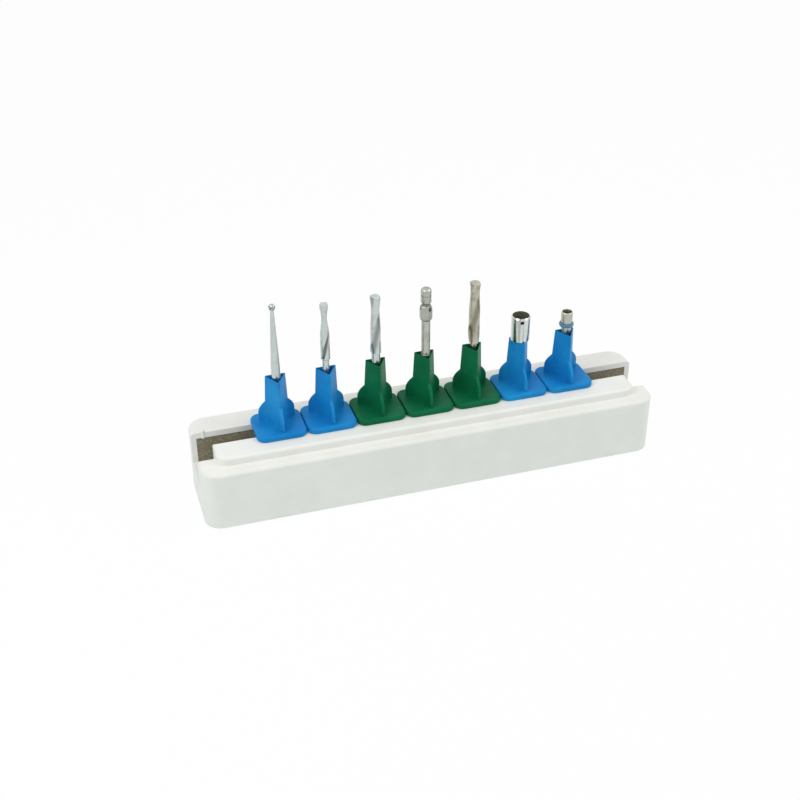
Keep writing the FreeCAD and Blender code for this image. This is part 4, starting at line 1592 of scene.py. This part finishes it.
    def socket_rings(self) -> list[list[Vector]]:
        """Hollow of the socket with its tapered mouth, reaching out over the rim."""
        wide = self.mouth + self.mouth_ease
        levels = ((self.floor, self.socket), (self.rim - self.mouth_depth, self.socket),
                  (self.rim - 0.1, self.mouth), (self.rim + 0.02, wide), (self.rim + 0.5, wide))
        return [self.triangle(radius, self.socket_shift, self.socket_corner, height)
                for height, radius in levels]

    def fin_rings(self, turn: float, longer: float) -> list[list[Vector]]:
        """One fin, upright on the plate, thinner towards its outer edge.

        Args:
            turn: direction of the fin in degrees.
            longer: how much further out than the others it reaches.

        Returns:
            Outlines across the fin's thickness.
        """
        ahead = Vector((math.cos(math.radians(turn)), math.sin(math.radians(turn)), 0.0))
        aside = Vector((-ahead.y, ahead.x, 0.0))
        curve = ((self.fin_root, self.fin_low), *self.fin_curve, (self.fin_root, self.fin_high))
        rings = []
        for share, inset in self.fin_slices:
            outline = []
            for reach, lift in curve:
                outer = max(0.0, (reach - self.fin_narrow) / self.fin_span)
                across = share * (self.fin + (self.fin_outer - self.fin) * outer) / 2
                far = reach + longer * outer - (inset if reach > self.fin_root else 0.0)
                high = self.plate + lift - (inset if lift > self.fin_eased else 0.0)
                outline.append(ahead * far + aside * across + Vector((self.tube_shift, 0.0, high)))
            rings.append(outline)
        return rings

    def forms(self) -> list[bpy.types.Object]:
        """Solids of the mould at one unit to the millimetre, the scale at which the solver closes them.

        Returns:
            The plate, what is joined to it, and last the socket that is taken out.
        """
        front, right, left = CORNERS
        named = {"mould_plate": self.plate_rings(), "mould_foot": self.foot_rings(),
                 "mould_tube": self.tube_rings(), "mould_front": self.fin_rings(front, self.front_longer),
                 "mould_right": self.fin_rings(right, 0.0), "mould_left": self.fin_rings(left, 0.0),
                 "mould_socket": self.socket_rings()}
        return [skin(name, [[point / MM for point in ring] for ring in rings])
                for name, rings in named.items()]

    def mesh(self) -> bpy.types.Mesh:
        """Join the solids, take the socket out, and return the mesh in metres."""
        solids = self.forms()
        body, others = solids[0], solids[1:]
        for other in others:
            joint = body.modifiers.new(other.name, "BOOLEAN")
            joint.operation = "DIFFERENCE" if other is others[-1] else "UNION"
            joint.solver = "EXACT"
            joint.object = other
        bpy.context.view_layer.update()
        depsgraph = bpy.context.evaluated_depsgraph_get()
        joined = bpy.data.meshes.new_from_object(body.evaluated_get(depsgraph))
        joined.name = "holder_mould"
        for solid in solids:
            data = solid.data
            bpy.data.objects.remove(solid, do_unlink=True)
            bpy.data.meshes.remove(data)
        build = bmesh.new()
        build.from_mesh(joined)
        bmesh.ops.remove_doubles(build, verts=build.verts, dist=WELD)
        bmesh.ops.recalc_face_normals(build, faces=build.faces)
        bmesh.ops.scale(build, vec=(MM, MM, MM), verts=build.verts)
        build.to_mesh(joined)
        build.free()
        joined.shade_smooth()
        joined.set_sharp_from_angle(angle=math.radians(self.sharp))
        return joined


@dataclass
class Holder:
    """One moulded holder of the row.

    Attributes:
        place: its number from the left.
        colour: its colour group.
        mould: mesh that it is cast from.
    """

    place: int
    colour: HolderColour
    mould: bpy.types.Mesh

    def build(self) -> bpy.types.Object:
        """Set one cast of the mould on its carrier and let it stand for its CAD node.

        Returns:
            The finished piece.
        """
        node = "holder_%d" % self.place
        low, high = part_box(node)
        mesh = self.mould.copy()
        mesh.transform(Matrix.Translation(Vector((
            (low.x + high.x) / 2, low.y + AXIS_FROM_FRONT * MM, high.z - RIM_FROM_PLATE * MM))))
        item = add_object(node + "_piece", mesh)
        coat(item, self.colour)
        even = item.modifiers.new("even_normals", "WEIGHTED_NORMAL")
        even.keep_sharp = True
        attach(item, "carrier_%d" % self.place)
        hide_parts(node)
        LOG.info("%s: %s, %d faces", node, self.colour.name.lower(), len(mesh.polygons))
        return item


@dataclass(frozen=True)
class Lamp:
    """Square soft light.

    Attributes:
        name: its name.
        place: its position in millimetres.
        size: its side in millimetres.
        power: its power in watts.
    """

    name: str
    place: Triple
    size: float
    power: float


@dataclass
class Studio:
    """Floor, soft lights, plain surroundings and the camera.

    Attributes:
        azimuth: direction of the camera from the front, in degrees.
        elevation: its height over the horizon, in degrees.
        roll: its turn round the line of sight, in degrees.
        distance: camera to target.
        target: point that the camera looks at.
        focal_pixels: focal length in pixels of the picture.
        centre_pixels: where the target lies in the picture.
        frame_pixels: side of the picture.
        clip: nearest and furthest distance that is rendered, in metres.
        ambient: strength of the surroundings as a light.
        ambient_colour: colour of that light.
        lamps: the soft lights.
        aim: point that the lamps look at.
        floor_reach: radius of the floor, in metres.
        floor_sides: corners of the floor.
        floor_gap: distance of the floor under the stand.
        floor_colour: colour of the floor where it catches the shadow.
        floor_white: how white the floor is where it is seen, from 0 to 1.
    """

    azimuth: float = 17.243
    elevation: float = 31.769
    roll: float = -0.158
    distance: float = 338.68
    target: Triple = (-6.87, 0.0, 23.69)
    focal_pixels: float = 1273.9
    centre_pixels: tuple[float, float] = (400.98, 393.67)
    frame_pixels: float = 800.0
    clip: tuple[float, float] = (0.01, 20.0)
    ambient: float = 0.66
    ambient_colour: Colour = (1.0, 0.985, 0.965, 1.0)
    lamps: tuple[Lamp, ...] = (Lamp("left", (-190.0, -70.0, 230.0), 150.0, 0.26),
                               Lamp("right", (200.0, -80.0, 240.0), 150.0, 0.23))
    aim: Triple = (0.0, 0.0, 20.0)
    floor_reach: float = 6.0
    floor_sides: int = 48
    floor_gap: float = 0.02
    floor_colour: Colour = (0.76, 0.84, 0.85, 1.0)
    floor_white: float = 0.96

    def build(self) -> None:
        """Make the stage, the lights and the camera."""
        self.floor()
        self.surroundings()
        for lamp in self.lamps:
            self.light(lamp)
        self.camera()
        bpy.context.scene.view_settings.view_transform = "Standard"

    def shown(self, tree: bpy.types.NodeTree) -> Socket:
        """Value that is 1 for rays from the camera, for mirror rays and for clear rays.

        Args:
            tree: node tree that needs it.

        Returns:
            The combined value.
        """
        rays = tree.nodes.new("ShaderNodeLightPath")
        total = rays.outputs["Is Camera Ray"]
        for name in ("Is Glossy Ray", "Is Transmission Ray"):
            either = tree.nodes.new("ShaderNodeMath")
            either.operation = "MAXIMUM"
            tree.links.new(total, either.inputs[0])
            tree.links.new(rays.outputs[name], either.inputs[1])
            total = either.outputs[0]
        return total

    def mix(self, tree: bpy.types.NodeTree, share: Socket, shaders: Sequence[bpy.types.Node],
            output: bpy.types.Node) -> None:
        """Mix two shaders and give the result to the output.

        Args:
            tree: node tree that holds them.
            share: part of the second shader.
            shaders: the two shaders.
            output: output node of the tree.
        """
        mixed = tree.nodes.new("ShaderNodeMixShader")
        tree.links.new(share, mixed.inputs[0])
        for place, shader in enumerate(shaders, start=1):
            tree.links.new(shader.outputs[0], mixed.inputs[place])
        tree.links.new(mixed.outputs[0], output.inputs["Surface"])

    def surroundings(self) -> None:
        """Plain pale surroundings: white where they are seen, dimmer where they only light."""
        world = bpy.data.worlds.new("surroundings")
        bpy.context.scene.world = world
        world.use_nodes = True
        tree = world.node_tree
        tree.nodes.clear()
        output = tree.nodes.new("ShaderNodeOutputWorld")
        lit, seen = tree.nodes.new("ShaderNodeBackground"), tree.nodes.new("ShaderNodeBackground")
        lit.inputs["Color"].default_value = self.ambient_colour
        lit.inputs["Strength"].default_value = self.ambient
        seen.inputs["Color"].default_value = (1.0, 1.0, 1.0, 1.0)
        seen.inputs["Strength"].default_value = 1.0
        self.mix(tree, self.shown(tree), (lit, seen), output)

    def floor(self) -> None:
        """Wide pale floor that keeps the object's soft shadow."""
        level = CAD_BOX[0].z - self.floor_gap * MM
        mesh = bpy.data.meshes.new("studio_floor")
        build = bmesh.new()
        rim = []
        for k in range(self.floor_sides):
            turn = FULL_TURN * k / self.floor_sides
            rim.append(build.verts.new((self.floor_reach * math.cos(turn),
                                        self.floor_reach * math.sin(turn), level)))
        build.faces.new(rim)
        build.to_mesh(mesh)
        build.free()
        item = add_object("studio_floor", mesh)
        material = bpy.data.materials.new("studio_floor")
        material.use_nodes = True
        tree = material.node_tree
        tree.nodes.clear()
        output = tree.nodes.new("ShaderNodeOutputMaterial")
        matte, glow = tree.nodes.new("ShaderNodeBsdfDiffuse"), tree.nodes.new("ShaderNodeEmission")
        matte.inputs["Color"].default_value = self.floor_colour
        glow.inputs["Strength"].default_value = 1.0
        share = tree.nodes.new("ShaderNodeMath")
        share.operation = "MULTIPLY"
        share.inputs[1].default_value = self.floor_white
        tree.links.new(self.shown(tree), share.inputs[0])
        self.mix(tree, share.outputs[0], (matte, glow), output)
        mesh.materials.append(material)

    def light(self, lamp: Lamp) -> None:
        """Put up one lamp and turn it to the stand."""
        data = bpy.data.lights.new(lamp.name, "AREA")
        data.shape = "SQUARE"
        data.size = lamp.size * MM
        data.energy = lamp.power
        item = add_object(lamp.name, data)
        item.location = Vector(lamp.place) * MM
        item.rotation_mode = "QUATERNION"
        item.rotation_quaternion = (Vector(self.aim) * MM - item.location).to_track_quat("-Z", "Y")

    def camera(self) -> None:
        """Camera at the photograph's place."""
        side, rise, lean = (math.radians(v) for v in (self.azimuth, self.elevation, self.roll))
        back = Vector((-math.sin(side) * math.cos(rise), -math.cos(side) * math.cos(rise), math.sin(rise)))
        right = (-back).cross(Vector((0.0, 0.0, 1.0))).normalized()
        up = right.cross(-back)
        across = right * math.cos(lean) + up * math.sin(lean)
        upward = up * math.cos(lean) - right * math.sin(lean)
        data = bpy.data.cameras.new("camera")
        data.sensor_width = 36.0
        data.lens = self.focal_pixels * data.sensor_width / self.frame_pixels
        half = self.frame_pixels / 2
        data.shift_x = (half - self.centre_pixels[0]) / self.frame_pixels
        data.shift_y = (self.centre_pixels[1] - half) / self.frame_pixels
        data.clip_start, data.clip_end = self.clip
        item = add_object("camera", data)
        turn = Matrix((across, upward, back)).transposed().to_4x4()
        spot = (Vector(self.target) + back * self.distance) * MM
        item.matrix_world = Matrix.Translation(spot) @ turn
        bpy.context.scene.camera = item


def parts() -> Iterable[Stand | Holder | Instrument]:
    """Every part of the organizer, in building order."""
    blue, green = HolderColour.BLUE, HolderColour.GREEN
    yield Stand()
    mould = HolderMould().mesh()
    for place, colour in enumerate((blue, blue, green, green, green, blue, blue), start=1):
        yield Holder(place, colour, mould)
    yield RoundBur("round_bur", 1, Steel.GREY, "instrument_steel", lean=0.26)
    yield PilotDrill("pilot_drill", 2, Steel.GREY, "instrument_steel", lean=0.03)
    yield TwistDrill("twist_drill_short", 3, Steel.GREY, "instrument_steel", lean=0.05, phase=121.6)
    yield TwistDrill("twist_drill_long", 5, Steel.STRAW, "drill_steel_warm", lean=0.27, reach=18.7,
                     radius=1.52, start=0.5, web=1.2, phase=92.0, neck=0.93, neck_length=3.0)
    yield HexDriver("hex_driver", 4, Steel.DRIVER, "driver_steel", sides=144, sharp=26.0, lean=0.28)
    yield TissuePunch("tissue_punch", 6, Steel.CHROME, "punch_steel")
    yield DrillStop("drill_stop", 7, Steel.STOP, "drill_stop_metal")
    yield MarkingRing("marking_ring", 7, RING_TEAL, "ring_blue")


def main() -> None:
    """Build the studio and every part."""
    logging.basicConfig(level=logging.INFO, format="%(name)s: %(message)s")
    Studio().build()
    for part in parts():
        part.build()


if __name__ == "__main__":
    main()
